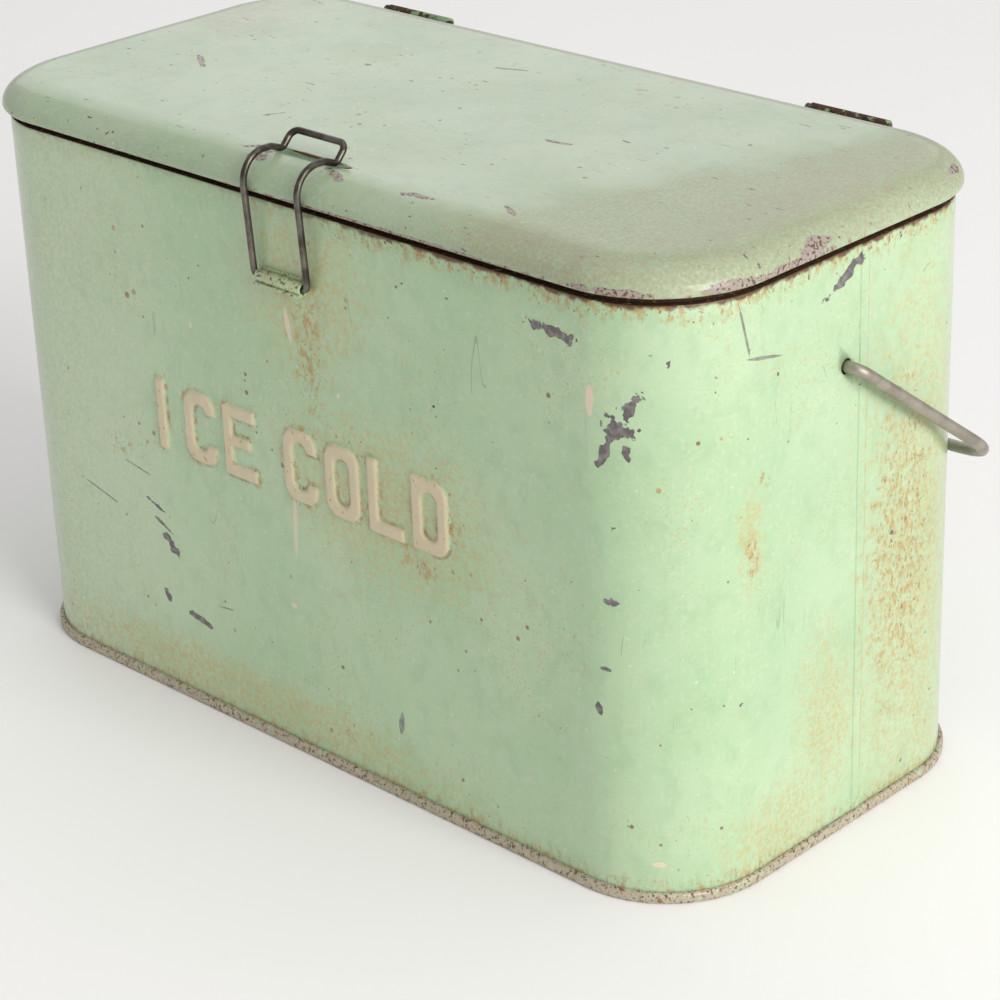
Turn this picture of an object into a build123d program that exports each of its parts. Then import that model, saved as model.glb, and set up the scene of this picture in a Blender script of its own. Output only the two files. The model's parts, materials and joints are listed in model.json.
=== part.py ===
"""Vintage insulated soda cooler chest, in millimetres.

The origin is at the middle of the base, on the surface that the chest stands on. +X runs to its
right end, the latch is on the -Y face and the hinges are on the +Y face. An outset is a distance
measured outwards from the outer face of the walls, so a negative outset is inside the chest.
"""

import os
from math import asin, cos, degrees, radians, sin

from build123d import *

# Outer case
LENGTH = 457.0
DEPTH = 221.0
RIM_HEIGHT = 279.0
CORNER_RADIUS = 52.0
SHEET = 0.8
FRONT = -DEPTH / 2
BACK = DEPTH / 2
END = LENGTH / 2

# Rolled hem that joins the bottom pan to the wall
HEM_OUTSET = 2.5
HEM_HEIGHT = 5.5
HEM_INNER = -3.2
HEM_ROUND = 1.8
SHELL_FOOT = 1.6
PAN_FLOOR = 3.0

# Lock seam down the right end, where the two edges of the wrap-around sheet meet
SEAM_Y = 11.5
SEAM_WIDTH = 5.0
SEAM_RAISED = 0.5

# Ice compartment and insulation
LINER_OUTSET = -22.0
LINER_SHEET = 0.7
LINER_FLOOR = 24.0
LINER_FLOOR_ROUND = 6.0
LINER_LIP = 4.0

# Collar round the mouth
COLLAR_OUTSET = -4.0
COLLAR_TOP = 284.8

# Lid pan: a rolled lip, a bulging edge that is two quarter ellipses, and a flat top
LID_LIP = 282.5
LID_LIP_OUTSET = 0.6
LID_BULGE = 3.4
LID_BULGE_Z = 284.0
LID_TOP = 296.6
LID_ROUND = 22.3
LID_HEM_INNER = -1.0
LID_HEM_HEIGHT = 3.0
LID_CORE_INSET = -30.0

# Underside of the lid
LID_LINER_EDGE = 2.0
LID_LINER_SHEET = 0.7
PLUG_OUTSET = -26.0
PLUG_BOTTOM = 276.0
SEAL_OUTER = -7.0
SEAL_INNER = -15.0
SEAL_GAP = 0.4
CORE_CLEAR = 0.5

# Pressed groove in the lid's top that the latch wire drops into
GROOVE_FRONT = 14.5
GROOVE_BACK = 21.5
GROOVE_DEPTH = 2.5
GROOVE_LENGTH = 58.0
GROOVE_TAPER = 9.0
GROOVE_POINT_BACK = 1.0
GROOVE_BED_IN = 1.6
GROOVE_BED_FRONT = 2.0
GROOVE_BED_BACK = 0.8
GROOVE_FLARE_FRONT = 1.2
GROOVE_FLARE_BACK = 0.3
GROOVE_FLARE_END = 2.0

# Latch: a bent spring wire in a curled sheet barrel
WIRE_RADIUS = 1.6
LATCH_HALF_WIDTH = 17.5
LATCH_PIVOT_OUT = 3.0
LATCH_PIVOT_Z = RIM_HEIGHT - 35.3
LATCH_LEG_OUT = 6.5
LATCH_LEG_Z = RIM_HEIGHT + 21.4
LATCH_CREST_IN = 12.0
LATCH_CREST_Z = RIM_HEIGHT + 20.8
LATCH_DIP_IN = 18.6
LATCH_DIP_Z = RIM_HEIGHT + 18.1
LATCH_GRIP_IN = 25.5
LATCH_GRIP_Z = RIM_HEIGHT + 25.4
LATCH_END_GAP = 2.0
LATCH_FOOT_BEND = 3.0
LATCH_LID_BEND = 13.0
LATCH_CREST_BEND = 6.0
LATCH_DIP_BEND = 2.5
LATCH_GRIP_BEND = 4.5
BARREL_LENGTH = 29.5
BARREL_RADIUS = 3.0
BARREL_SHEET = 0.9
BARREL_LIP = 1.6

# Carrying bail
BAIL_RADIUS = 2.8
BAIL_PIVOT_Z = 226.6
BAIL_ARM_X = 236.4
BAIL_REACH = 140.6
BAIL_LEAN = 35.9
BAIL_BEND = 38.0
BAIL_END_BEND = 5.0
BAIL_END_X = 216.0
BAIL_HOLE_RADIUS = 3.6
CLIP_RADIUS = 5.5
CLIP_THICK = 1.2
CLIP_X = 224.0
SOCKET_RADIUS = 9.0
SOCKET_FLANGE = 13.0
SOCKET_DEPTH = 14.0
POCKET_CLEAR = 0.2

# Hinges
HINGE_X = 140.0
HINGE_LENGTH = 44.0
HINGE_PIN_Y = 115.2
HINGE_PIN_Z = 290.0
KNUCKLE_RADIUS = 2.8
PIN_RADIUS = 1.5
PIN_CLEAR = 0.05
CENTRE_KNUCKLE = 18.0
KNUCKLE_GAP = 0.4
PIN_OVERHANG = 3.0
PIN_TAIL = 1.0
PIN_HEAD = 2.2
PIN_HEAD_THICK = 1.0
LEAF_SHEET = 1.2
LEAF_BOTTOM = 252.0
LEAF_BEND_Z = 276.2
LEAF_NECK_Z = 281.2
LEAF_NECK_OUT = 4.8
LEAF_LAP = 2.0
STRAP_SHEET = 1.0
STRAP_TOP = 291.5
STRAP_RELIEF_Z = 286.5
STRAP_RELIEF_SIZE = 20.0
WEB_DEPTH = 2.6
WEB_HEIGHT = 1.6
WEB_IN = 1.7
RIVET_RADIUS = 1.5
RIVET_HEAD = 3.0
RIVET_HEAD_THICK = 1.2
RIVET_HEAD_ROUND = 0.96
RIVET_TAIL = 2.5
RIVET_TAIL_THICK = 0.8
RIVET_Z = 263.0
RIVET_SPACING = 26.0

# Raised lettering: plain upright block capitals
LETTER_WORDS = ("ICE", "COLD")
LETTER_HEIGHT = 38.0
LETTER_WIDTH = 24.0
LETTER_STROKE = 8.0
LETTER_STEP = 28.0
WORD_SPACE = 14.0
LETTER_RAISED = 1.5
LETTER_ROUND = 9.0
LETTER_HOLLOW_ROUND = 3.5
LETTER_BAR_SHORT = 3.0
LETTER_BAR_THIN = 1.0
LETTERING_X = -5.0
LETTERING_Z = 153.5

# How far joined shapes share space, how far a cutter runs past a face, and a drill past a wall
OVERLAP = 0.5
CUT = 1.0
DRILL = 5.0


def save(shape, name):
    """Write one named piece."""
    shape.label = name
    export_step(shape, f"parts/{name}.step")


def block(outset, bottom, top):
    """A solid with the chest's rounded outline, grown by outset, between two heights."""
    outline = RectangleRounded(LENGTH + 2 * outset, DEPTH + 2 * outset, CORNER_RADIUS + outset)
    return Pos(0, 0, bottom) * extrude(outline, top - bottom)


def ring(outer, inner, bottom, top):
    """A wall that follows the chest's outline, between two outsets."""
    return block(outer, bottom, top) - block(inner, bottom - CUT, top + CUT)


def rod(start, end, radius):
    """A round bar from one point to another."""
    axis = Vector(*end) - Vector(*start)
    return extrude(Plane(origin=start, z_dir=axis) * Circle(radius), axis.length)


def tube(start, end, radius, bore):
    """A round bar with a hole right through it."""
    return rod(start, end, radius) - rod(start, end, bore)


def along_x(section, x_low, x_high):
    """Extrude a section drawn in (y, z) along X."""
    plane = Plane(origin=(x_low, 0, 0), x_dir=(0, 1, 0), z_dir=(1, 0, 0))
    return extrude(plane * section, x_high - x_low)


def round_the_outline(section):
    """Carry a section, drawn in (outset, height), all the way round the chest's outline."""
    pieces = []
    for side in range(4):
        angle = radians(90 * side - 90)
        out = Vector(cos(angle), sin(angle))
        along = Vector(-sin(angle), cos(angle))
        span, reach = (LENGTH, DEPTH) if side % 2 == 0 else (DEPTH, LENGTH)
        straight = span - 2 * CORNER_RADIUS
        start = out * (reach / 2) + along * (straight / 2)
        face = Plane(origin=start, x_dir=out, z_dir=-along) * section
        pivot = start - out * CORNER_RADIUS
        pieces.append(extrude(face, straight))
        pieces.append(revolve(face, Axis(pivot, (0, 0, 1)), 90))
    return pieces


def lid_form(inset, lip, lip_outset, hem_top=None):
    """The lid's outer form drawn in by inset, filled solid, from a lip height up.

    With hem_top the wall goes straight up at lip_outset to that height before it meets the
    ellipse, which is the inside of the folded hem.
    """
    round_x = LID_ROUND - inset
    round_z = LID_TOP - LID_BULGE_Z - inset
    centre = (LID_BULGE - LID_ROUND, LID_BULGE_Z)
    top = LID_BULGE_Z + round_z
    start = degrees(asin((hem_top - LID_BULGE_Z) / round_z)) if hem_top else 0
    arc = EllipticalCenterArc(centre, round_x, round_z, start, arc_size=90 - start)
    if hem_top:
        edge = Polyline((LID_CORE_INSET, lip), (lip_outset, lip), (lip_outset, hem_top), arc @ 0)
    else:
        flare = LID_BULGE - inset - lip_outset
        low_centre = (lip_outset, LID_BULGE_Z)
        under = EllipticalCenterArc(low_centre, flare, LID_BULGE_Z - lip, 270, arc_size=90)
        edge = Line((LID_CORE_INSET, lip), under @ 0) + under
    close = Polyline(arc @ 1, (LID_CORE_INSET, top), (LID_CORE_INSET, lip))
    section = make_face(edge + arc + close)
    form = block(LID_CORE_INSET + OVERLAP, lip, top)
    for piece in round_the_outline(section):
        form += piece
    return form


def groove(cover):
    """The pressed groove's cutter, a boat shape with pointed ends, grown by cover."""
    front = FRONT + GROOVE_FRONT - cover
    back = FRONT + GROOVE_BACK + cover
    middle = (front + back) / 2 + GROOVE_POINT_BACK
    half = GROOVE_LENGTH / 2 + cover
    floor = LID_TOP - GROOVE_DEPTH - cover
    bed_y = back - GROOVE_BED_IN

    def outline(height, near, far, reach, taper):
        points = [
            (-reach, middle),
            (-reach + taper, near),
            (reach - taper, near),
            (reach, middle),
            (reach - taper, far),
            (-reach + taper, far),
        ]
        return Pos(0, 0, height) * make_face(Polyline(*points, close=True))

    near, far = front - GROOVE_FLARE_FRONT, back + GROOVE_FLARE_BACK
    mouth = outline(LID_TOP + CUT, near, far, half + GROOVE_FLARE_END, GROOVE_TAPER)
    near, far = bed_y - GROOVE_BED_FRONT, bed_y + GROOVE_BED_BACK
    bed = outline(floor, near, far, half - GROOVE_TAPER, GROOVE_TAPER / 2)
    return loft([bed, mouth], ruled=True)


def letter(name):
    """One block capital, drawn with its middle at the origin."""
    tall, wide, stroke = LETTER_HEIGHT, LETTER_WIDTH, LETTER_STROKE
    bar_y = tall / 2 - stroke / 2
    stem = Pos(-wide / 2 + stroke / 2, 0) * Rectangle(stroke, tall)
    bowl = RectangleRounded(wide, tall, LETTER_ROUND)
    hollow = RectangleRounded(wide - 2 * stroke, tall - 2 * stroke, LETTER_HOLLOW_ROUND)
    if name == "I":
        return Rectangle(stroke, tall)
    if name == "O":
        return bowl - hollow
    if name == "C":
        return bowl - hollow - Pos(wide / 2, 0) * Rectangle(wide, tall - 3 * stroke)
    if name == "D":
        square = Pos(-wide / 4, 0) * Rectangle(wide / 2, tall)
        return bowl + square - hollow
    foot = Pos(0, -bar_y) * Rectangle(wide, stroke)
    if name == "L":
        return stem + foot
    bar = Rectangle(wide - LETTER_BAR_SHORT, stroke - LETTER_BAR_THIN)
    middle = Pos(-LETTER_BAR_SHORT / 2, 0) * bar
    return stem + foot + Pos(0, bar_y) * Rectangle(wide, stroke) + middle


def lettering():
    """The raised words on the front, as pads that stand out of the sheet."""
    names = " ".join(LETTER_WORDS)
    steps = [WORD_SPACE if n == " " else LETTER_STEP for n in names]
    x = LETTERING_X - sum(steps) / 2
    pads = []
    for name, step in zip(names, steps):
        if name != " ":
            place = (x + step / 2, FRONT + OVERLAP, LETTERING_Z)
            plane = Plane(origin=place, x_dir=(1, 0, 0), z_dir=(0, -1, 0))
            pads.append(extrude(plane * letter(name), OVERLAP + LETTER_RAISED))
        x += step
    return pads


def rivet_places():
    """The middle of each hinge rivet, on the outside of the back wall."""
    offsets = (-RIVET_SPACING / 2, RIVET_SPACING / 2)
    return [(side * HINGE_X + dx, BACK, RIVET_Z) for side in (-1, 1) for dx in offsets]


def make_body_shell():
    """The wrap-around wall: one sheet, with the lock seam, lettering and holes."""
    shell = ring(0, -SHEET, SHELL_FOOT, RIM_HEIGHT)
    seam_height = RIM_HEIGHT - HEM_HEIGHT
    seam = Box(SEAM_RAISED + OVERLAP, SEAM_WIDTH, seam_height)
    seam_x = END + (SEAM_RAISED - OVERLAP) / 2
    shell += Pos(seam_x, SEAM_Y, HEM_HEIGHT + seam_height / 2) * seam
    for pad in lettering():
        shell += pad
    for side in (-1, 1):
        inner = (side * (END - DRILL), 0, BAIL_PIVOT_Z)
        shell -= rod(inner, (side * (END + DRILL), 0, BAIL_PIVOT_Z), BAIL_HOLE_RADIUS)
    for x, y, z in rivet_places():
        shell -= rod((x, y - DRILL, z), (x, y + DRILL, z), RIVET_RADIUS)
    return shell


def make_base_pan():
    """The bottom pan, whose rim is rolled round the foot of the wall."""
    hem = block(HEM_OUTSET, 0, HEM_HEIGHT)
    outer = hem.faces().sort_by(Axis.Z)[0].edges() + hem.faces().sort_by(Axis.Z)[-1].edges()
    hem = fillet(outer, HEM_ROUND)
    hem -= block(HEM_INNER, -CUT, PAN_FLOOR)
    hem -= block(HEM_INNER, PAN_FLOOR + SHEET, HEM_HEIGHT + CUT)
    return hem - ring(0, -SHEET, SHELL_FOOT, HEM_HEIGHT + CUT)


def make_liner():
    """The galvanised tub that holds the ice and bottles."""
    outside = block(LINER_OUTSET, LINER_FLOOR - LINER_SHEET, RIM_HEIGHT + LINER_SHEET)
    inside = block(LINER_OUTSET - LINER_SHEET, LINER_FLOOR, RIM_HEIGHT + LINER_SHEET + CUT)
    outside = fillet(outside.faces().sort_by(Axis.Z)[0].edges(), LINER_FLOOR_ROUND + LINER_SHEET)
    inside = fillet(inside.faces().sort_by(Axis.Z)[0].edges(), LINER_FLOOR_ROUND)
    tub = outside - inside
    lip_inner = LINER_OUTSET - LINER_SHEET
    return tub + ring(LINER_OUTSET + LINER_LIP, lip_inner, RIM_HEIGHT, RIM_HEIGHT + LINER_SHEET)


def make_rim_collar():
    """The dark collar that closes the top of the double wall and stands up inside the lid."""
    flange = ring(-SHEET, LINER_OUTSET, RIM_HEIGHT - SHEET, RIM_HEIGHT)
    wall = ring(COLLAR_OUTSET, COLLAR_OUTSET - SHEET, RIM_HEIGHT - SHEET, COLLAR_TOP)
    return flange + wall


def socket_space(side, clear):
    """The room that one handle socket takes up, grown by clear."""
    wall = side * (END - SHEET)
    flange_end = (wall - side * (SHEET + clear), 0, BAIL_PIVOT_Z)
    cup_end = (wall - side * (SOCKET_DEPTH + clear), 0, BAIL_PIVOT_Z)
    flange = rod((wall, 0, BAIL_PIVOT_Z), flange_end, SOCKET_FLANGE + clear)
    return flange + rod((wall, 0, BAIL_PIVOT_Z), cup_end, SOCKET_RADIUS + clear)


def make_socket(side):
    """The blind cup behind one handle hole, which keeps water out of the insulation."""
    wall = side * (END - SHEET)
    bottom = (wall - side * (SOCKET_DEPTH - SHEET), 0, BAIL_PIVOT_Z)
    mouth = (wall + side * CUT, 0, BAIL_PIVOT_Z)
    return socket_space(side, 0) - rod(mouth, bottom, SOCKET_RADIUS - SHEET)


def make_wall_insulation():
    """The insulation between the wall and the tub."""
    fill = ring(-SHEET, LINER_OUTSET, HEM_HEIGHT, RIM_HEIGHT - SHEET)
    for side in (-1, 1):
        fill -= socket_space(side, POCKET_CLEAR)
    for x, y, z in rivet_places():
        tail = y - SHEET - RIVET_TAIL_THICK - POCKET_CLEAR
        fill -= rod((x, y, z), (x, tail, z), RIVET_TAIL + POCKET_CLEAR)
    return fill


def make_floor_insulation():
    """The insulation under the tub."""
    low = block(HEM_INNER, PAN_FLOOR + SHEET, HEM_HEIGHT)
    return low + block(LINER_OUTSET, PAN_FLOOR + SHEET, LINER_FLOOR - LINER_SHEET)


def make_latch_bracket():
    """The curled sheet barrel on the front wall, with its lip along the lower edge."""
    half = BARREL_LENGTH / 2
    axis_y = FRONT - LATCH_PIVOT_OUT
    left, right = (-half, axis_y, LATCH_PIVOT_Z), (half, axis_y, LATCH_PIVOT_Z)
    bore = BARREL_RADIUS - BARREL_SHEET
    back = Box(BARREL_LENGTH, BARREL_SHEET, 2 * BARREL_RADIUS)
    back = Pos(0, FRONT - BARREL_SHEET / 2, LATCH_PIVOT_Z + BARREL_SHEET) * back
    lip = Box(BARREL_LENGTH, BARREL_RADIUS + BARREL_LIP, BARREL_SHEET)
    lip_y = axis_y - (BARREL_RADIUS + BARREL_LIP) / 2 + BARREL_SHEET
    lip = Pos(0, lip_y, LATCH_PIVOT_Z - BARREL_RADIUS + BARREL_SHEET / 2) * lip
    return rod(left, right, BARREL_RADIUS) + back + lip - rod(left, right, bore)


def make_latch_wire():
    """The bent wire: two legs, an arc over the lid's edge, a dip and a finger grip."""
    pivot = (FRONT - LATCH_PIVOT_OUT, LATCH_PIVOT_Z)
    shoulder = (FRONT - LATCH_LEG_OUT, LATCH_LEG_Z)
    crest = (FRONT + LATCH_CREST_IN, LATCH_CREST_Z)
    dip = (FRONT + LATCH_DIP_IN, LATCH_DIP_Z)
    grip = (FRONT + LATCH_GRIP_IN, LATCH_GRIP_Z)
    left = [(-LATCH_END_GAP, *pivot)]
    left += [(-LATCH_HALF_WIDTH, *place) for place in (pivot, shoulder, crest, dip, grip)]
    right = [(-x, y, z) for x, y, z in reversed(left)]
    bends = [LATCH_FOOT_BEND, LATCH_LID_BEND, LATCH_CREST_BEND, LATCH_DIP_BEND, LATCH_GRIP_BEND]
    path = FilletPolyline(*left, *right, radius=bends + bends[::-1])
    section = Plane(origin=left[0], z_dir=(-1, 0, 0)) * Circle(WIRE_RADIUS)
    return sweep(section, path)


def make_bail():
    """The carrying bail: one rod whose ends turn in through the end panels."""
    lean = radians(BAIL_LEAN)
    far_y = BAIL_REACH * cos(lean)
    far_z = BAIL_PIVOT_Z - BAIL_REACH * sin(lean)
    left = [
        (-BAIL_END_X, 0, BAIL_PIVOT_Z),
        (-BAIL_ARM_X, 0, BAIL_PIVOT_Z),
        (-BAIL_ARM_X, far_y, far_z),
    ]
    right = [(-x, y, z) for x, y, z in reversed(left)]
    bends = [BAIL_END_BEND, BAIL_BEND]
    path = FilletPolyline(*left, *right, radius=bends + bends[::-1])
    section = Plane(origin=left[0], z_dir=(-1, 0, 0)) * Circle(BAIL_RADIUS)
    return sweep(section, path)


def make_clips():
    """The push-on clips that keep the bail's ends in their holes."""
    clips = []
    for side in (-1, 1):
        start = (side * CLIP_X, 0, BAIL_PIVOT_Z)
        end = (side * (CLIP_X + CLIP_THICK), 0, BAIL_PIVOT_Z)
        clips.append(tube(start, end, CLIP_RADIUS, BAIL_RADIUS))
    return Compound(children=clips)


def knuckle(x_low, x_high):
    """A solid round knuckle on the hinge axis, before it is bored."""
    start = (x_low, HINGE_PIN_Y, HINGE_PIN_Z)
    return rod(start, (x_high, HINGE_PIN_Y, HINGE_PIN_Z), KNUCKLE_RADIUS)


def bore(x_low, x_high):
    """The pin's hole through a hinge's knuckles."""
    start = (x_low - CUT, HINGE_PIN_Y, HINGE_PIN_Z)
    return rod(start, (x_high + CUT, HINGE_PIN_Y, HINGE_PIN_Z), PIN_RADIUS + PIN_CLEAR)


def make_body_leaf(x):
    """The hinge leaf riveted to the back wall, cranked out past the lid's bulging edge."""
    half = HINGE_LENGTH / 2
    neck = CENTRE_KNUCKLE / 2
    crank = LEAF_SHEET / 2
    plate = along_x(
        Pos(BACK + LEAF_SHEET / 2, (LEAF_BOTTOM + LEAF_BEND_Z) / 2)
        * Rectangle(LEAF_SHEET, LEAF_BEND_Z - LEAF_BOTTOM),
        x - half,
        x + half,
    )
    inner, outer = BACK + LEAF_NECK_OUT, BACK + LEAF_NECK_OUT + LEAF_SHEET
    crank_line = Polyline(
        (BACK, LEAF_BEND_Z - LEAF_LAP),
        (BACK, LEAF_BEND_Z),
        (inner, LEAF_NECK_Z),
        (inner, HINGE_PIN_Z),
        (outer, HINGE_PIN_Z),
        (outer, LEAF_NECK_Z - crank),
        (BACK + LEAF_SHEET, LEAF_BEND_Z - crank),
        (BACK + LEAF_SHEET, LEAF_BEND_Z - LEAF_LAP),
        close=True,
    )
    leaf = plate + along_x(make_face(crank_line), x - neck, x + neck)
    leaf += knuckle(x - neck, x + neck)
    leaf -= bore(x - neck, x + neck)
    for px, py, pz in rivet_places():
        if abs(px - x) < half:
            leaf -= rod((px, py - DRILL, pz), (px, py + DRILL, pz), RIVET_RADIUS)
    return leaf


def make_lid_leaf(x):
    """The hinge strap that hugs the lid's back edge and carries the two outer knuckles."""
    half = HINGE_LENGTH / 2
    inner = CENTRE_KNUCKLE / 2 + KNUCKLE_GAP
    centre = (BACK + LID_BULGE - LID_ROUND, LID_BULGE_Z)
    round_z = LID_TOP - LID_BULGE_Z
    end_angle = degrees(asin((STRAP_TOP - LID_BULGE_Z) / (round_z + STRAP_SHEET)))
    near = EllipticalCenterArc(centre, LID_ROUND, round_z, 0, arc_size=end_angle)
    far_x, far_z = LID_ROUND + STRAP_SHEET, round_z + STRAP_SHEET
    far = EllipticalCenterArc(centre, far_x, far_z, 0, arc_size=end_angle)
    section = make_face(near + far + Line(near @ 0, far @ 0) + Line(near @ 1, far @ 1))
    strap = along_x(section, x - half, x + half)
    relief = Box(2 * inner, STRAP_RELIEF_SIZE, STRAP_RELIEF_SIZE)
    strap -= Pos(x, HINGE_PIN_Y, STRAP_RELIEF_Z + STRAP_RELIEF_SIZE / 2) * relief
    web_length = half - inner
    for side in (-1, 1):
        low, high = sorted((x + side * inner, x + side * half))
        strap += knuckle(low, high)
        web = Box(web_length, WEB_DEPTH, WEB_HEIGHT)
        strap += Pos((low + high) / 2, HINGE_PIN_Y - WEB_IN, HINGE_PIN_Z) * web
    return strap - bore(x - half, x + half)


def make_hinge_pin(x):
    """One hinge pin, which stands out past its knuckles at the left end, under its head."""
    half = HINGE_LENGTH / 2
    head = x - half - PIN_OVERHANG
    start = (head, HINGE_PIN_Y, HINGE_PIN_Z)
    pin = rod(start, (x + half + PIN_TAIL, HINGE_PIN_Y, HINGE_PIN_Z), PIN_RADIUS)
    return pin + rod(start, (head + PIN_HEAD_THICK, HINGE_PIN_Y, HINGE_PIN_Z), PIN_HEAD)


def make_rivets():
    """The four rivets that hold the hinge leaves to the back wall."""
    rivets = []
    for x, y, z in rivet_places():
        face = y + LEAF_SHEET
        tail = y - SHEET
        shank = rod((x, tail, z), (x, face, z), RIVET_RADIUS)
        head = rod((x, face, z), (x, face + RIVET_HEAD_THICK, z), RIVET_HEAD)
        head = fillet(head.edges().sort_by(Axis.Y)[-1], RIVET_HEAD_ROUND)
        back = rod((x, tail - RIVET_TAIL_THICK, z), (x, tail, z), RIVET_TAIL)
        rivets.append(shank + head + back)
    return Compound(children=rivets)


def make_lid_skin():
    """The pressed lid pan, with its folded hem and the groove for the latch."""
    outer = lid_form(0, LID_LIP, LID_LIP_OUTSET) - groove(0)
    hem_top = LID_LIP + LID_HEM_HEIGHT
    inner = lid_form(SHEET, LID_LIP - CUT, LID_HEM_INNER, hem_top) - groove(SHEET)
    return outer - inner


def make_lid_liner():
    """The pan on the lid's underside, whose middle drops into the chest's mouth."""
    bottom = LID_LIP + LID_HEM_HEIGHT
    top = bottom + LID_LINER_SHEET
    flange = ring(LID_LINER_EDGE, PLUG_OUTSET, bottom, top)
    plug = block(PLUG_OUTSET, PLUG_BOTTOM, top)
    plug -= block(PLUG_OUTSET - LID_LINER_SHEET, PLUG_BOTTOM + LID_LINER_SHEET, top + CUT)
    return flange + plug


def make_lid_insulation():
    """The insulation inside the lid."""
    bottom = LID_LIP + LID_HEM_HEIGHT + LID_LINER_SHEET
    inset = SHEET + CORE_CLEAR
    outset = LID_HEM_INNER - CORE_CLEAR
    upper = lid_form(inset, bottom, outset, bottom + CUT) - groove(inset)
    low = PLUG_BOTTOM + LID_LINER_SHEET
    return upper + block(PLUG_OUTSET - LID_LINER_SHEET, low, bottom + CUT)


def make_lid_seal():
    """The rubber gasket under the lid, just clear of the collar."""
    return ring(SEAL_OUTER, SEAL_INNER, RIM_HEIGHT + SEAL_GAP, LID_LIP + LID_HEM_HEIGHT)


def main():
    """Build every piece and write it to its own file."""
    os.makedirs("parts", exist_ok=True)
    save(make_body_shell(), "body_shell")
    save(make_base_pan(), "base_pan")
    save(make_wall_insulation(), "wall_insulation")
    save(make_floor_insulation(), "floor_insulation")
    save(make_liner(), "liner")
    save(make_rim_collar(), "rim_collar")
    save(make_latch_bracket(), "latch_bracket")
    save(make_latch_wire(), "latch_wire")
    save(make_bail(), "handle_bail")
    save(make_clips(), "handle_clips")
    save(make_rivets(), "hinge_rivets")
    save(make_lid_skin(), "lid_skin")
    save(make_lid_liner(), "lid_liner")
    save(make_lid_insulation(), "lid_insulation")
    save(make_lid_seal(), "lid_seal")
    for name, side in (("left", -1), ("right", 1)):
        save(make_socket(side), f"handle_socket_{name}")
        save(make_body_leaf(side * HINGE_X), f"hinge_body_leaf_{name}")
        save(make_lid_leaf(side * HINGE_X), f"hinge_lid_leaf_{name}")
        save(make_hinge_pin(side * HINGE_X), f"hinge_pin_{name}")


if __name__ == "__main__":
    main()
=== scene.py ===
"""Vintage insulated cooler chest: the enamelled shells, worn finishes, light and camera.

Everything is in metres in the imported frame: +X is the right end, -Y the front, +Z up.
"""

from __future__ import annotations

import json
import logging
from dataclasses import dataclass, field
from enum import Enum
from math import asin, cos, degrees, hypot, pi, radians, sin, sqrt
from typing import Any, Iterable, Sequence

import bmesh
import bpy
from mathutils import Matrix, Vector, noise


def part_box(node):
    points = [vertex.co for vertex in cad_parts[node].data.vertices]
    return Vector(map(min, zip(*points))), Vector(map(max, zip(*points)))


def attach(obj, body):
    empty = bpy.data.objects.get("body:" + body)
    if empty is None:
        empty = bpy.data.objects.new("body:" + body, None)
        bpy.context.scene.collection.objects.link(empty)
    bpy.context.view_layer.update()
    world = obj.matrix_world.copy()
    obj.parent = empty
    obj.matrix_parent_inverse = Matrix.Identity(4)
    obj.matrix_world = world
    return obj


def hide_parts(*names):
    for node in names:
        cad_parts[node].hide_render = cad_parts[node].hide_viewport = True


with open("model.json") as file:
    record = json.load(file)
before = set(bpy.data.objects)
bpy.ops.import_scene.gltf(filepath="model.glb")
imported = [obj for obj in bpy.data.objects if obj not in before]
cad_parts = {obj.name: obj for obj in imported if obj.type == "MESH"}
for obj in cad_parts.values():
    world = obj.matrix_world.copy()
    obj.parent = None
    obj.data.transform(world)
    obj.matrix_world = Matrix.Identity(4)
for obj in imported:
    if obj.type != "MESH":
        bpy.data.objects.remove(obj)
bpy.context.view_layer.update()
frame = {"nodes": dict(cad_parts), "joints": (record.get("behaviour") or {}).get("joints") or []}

LOG = logging.getLogger("cooler")
MM = 0.001
# The outer steel's thickness, and the tub's
SHEET = 0.8 * MM
TUB_SHEET = 0.7 * MM
# The longest step along a plain stretch of a wall, and the gap under which points are one
EVEN_COLUMN = 14 * MM
WELD = 0.01 * MM
# Edges flatter than the first angle are dissolved and those sharper than the second are eased
FLAT_ANGLE = radians(3)
SHARP_ANGLE = radians(50)

Point = tuple[float, float]
Triple = tuple[float, float, float]


def linear(code: str) -> tuple[float, float, float, float]:
    """Turn an sRGB hex colour into the linear colour that a shader takes.

    Args:
        code: the colour, as "#RRGGBB".

    Returns:
        Red, green, blue and an alpha of one.
    """
    channels = []
    for first in (1, 3, 5):
        value = int(code[first : first + 2], 16) / 255
        value = value / 12.92 if value <= 0.04045 else ((value + 0.055) / 1.055) ** 2.4
        channels.append(value)
    return (*channels, 1.0)


def smooth_step(low: float, high: float, value: float) -> float:
    """Ease from 0 at low to 1 at high."""
    t = min(max((value - low) / (high - low), 0.0), 1.0)
    return t * t * (3 - 2 * t)


# ---------------------------------------------------------------- sheet metal shapes


@dataclass(frozen=True)
class Outline:
    """The rounded rectangle that the case, lid and liner all follow.

    An outset is a distance outwards from the wall's outer face, so inside is negative.
    """

    half_x: float
    half_y: float
    radius: float = 52 * MM
    corner_steps: int = 30

    @classmethod
    def of_case(cls) -> Outline:
        """Read the wall's outline from the collar, which sits just inside it."""
        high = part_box("rim_collar")[1]
        return cls(high.x + SHEET, high.y + SHEET)

    def straight(self, side: int) -> float:
        """Length of one straight side: 0 is the front, then counter-clockwise."""
        half = self.half_x if side % 2 == 0 else self.half_y
        return 2 * (half - self.radius)


def even_steps(length: float, longest: float) -> list[float]:
    """Divide a length into equal steps no longer than the longest allowed."""
    count = max(1, round(length / longest + 0.499))
    return [length / count] * count


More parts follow.
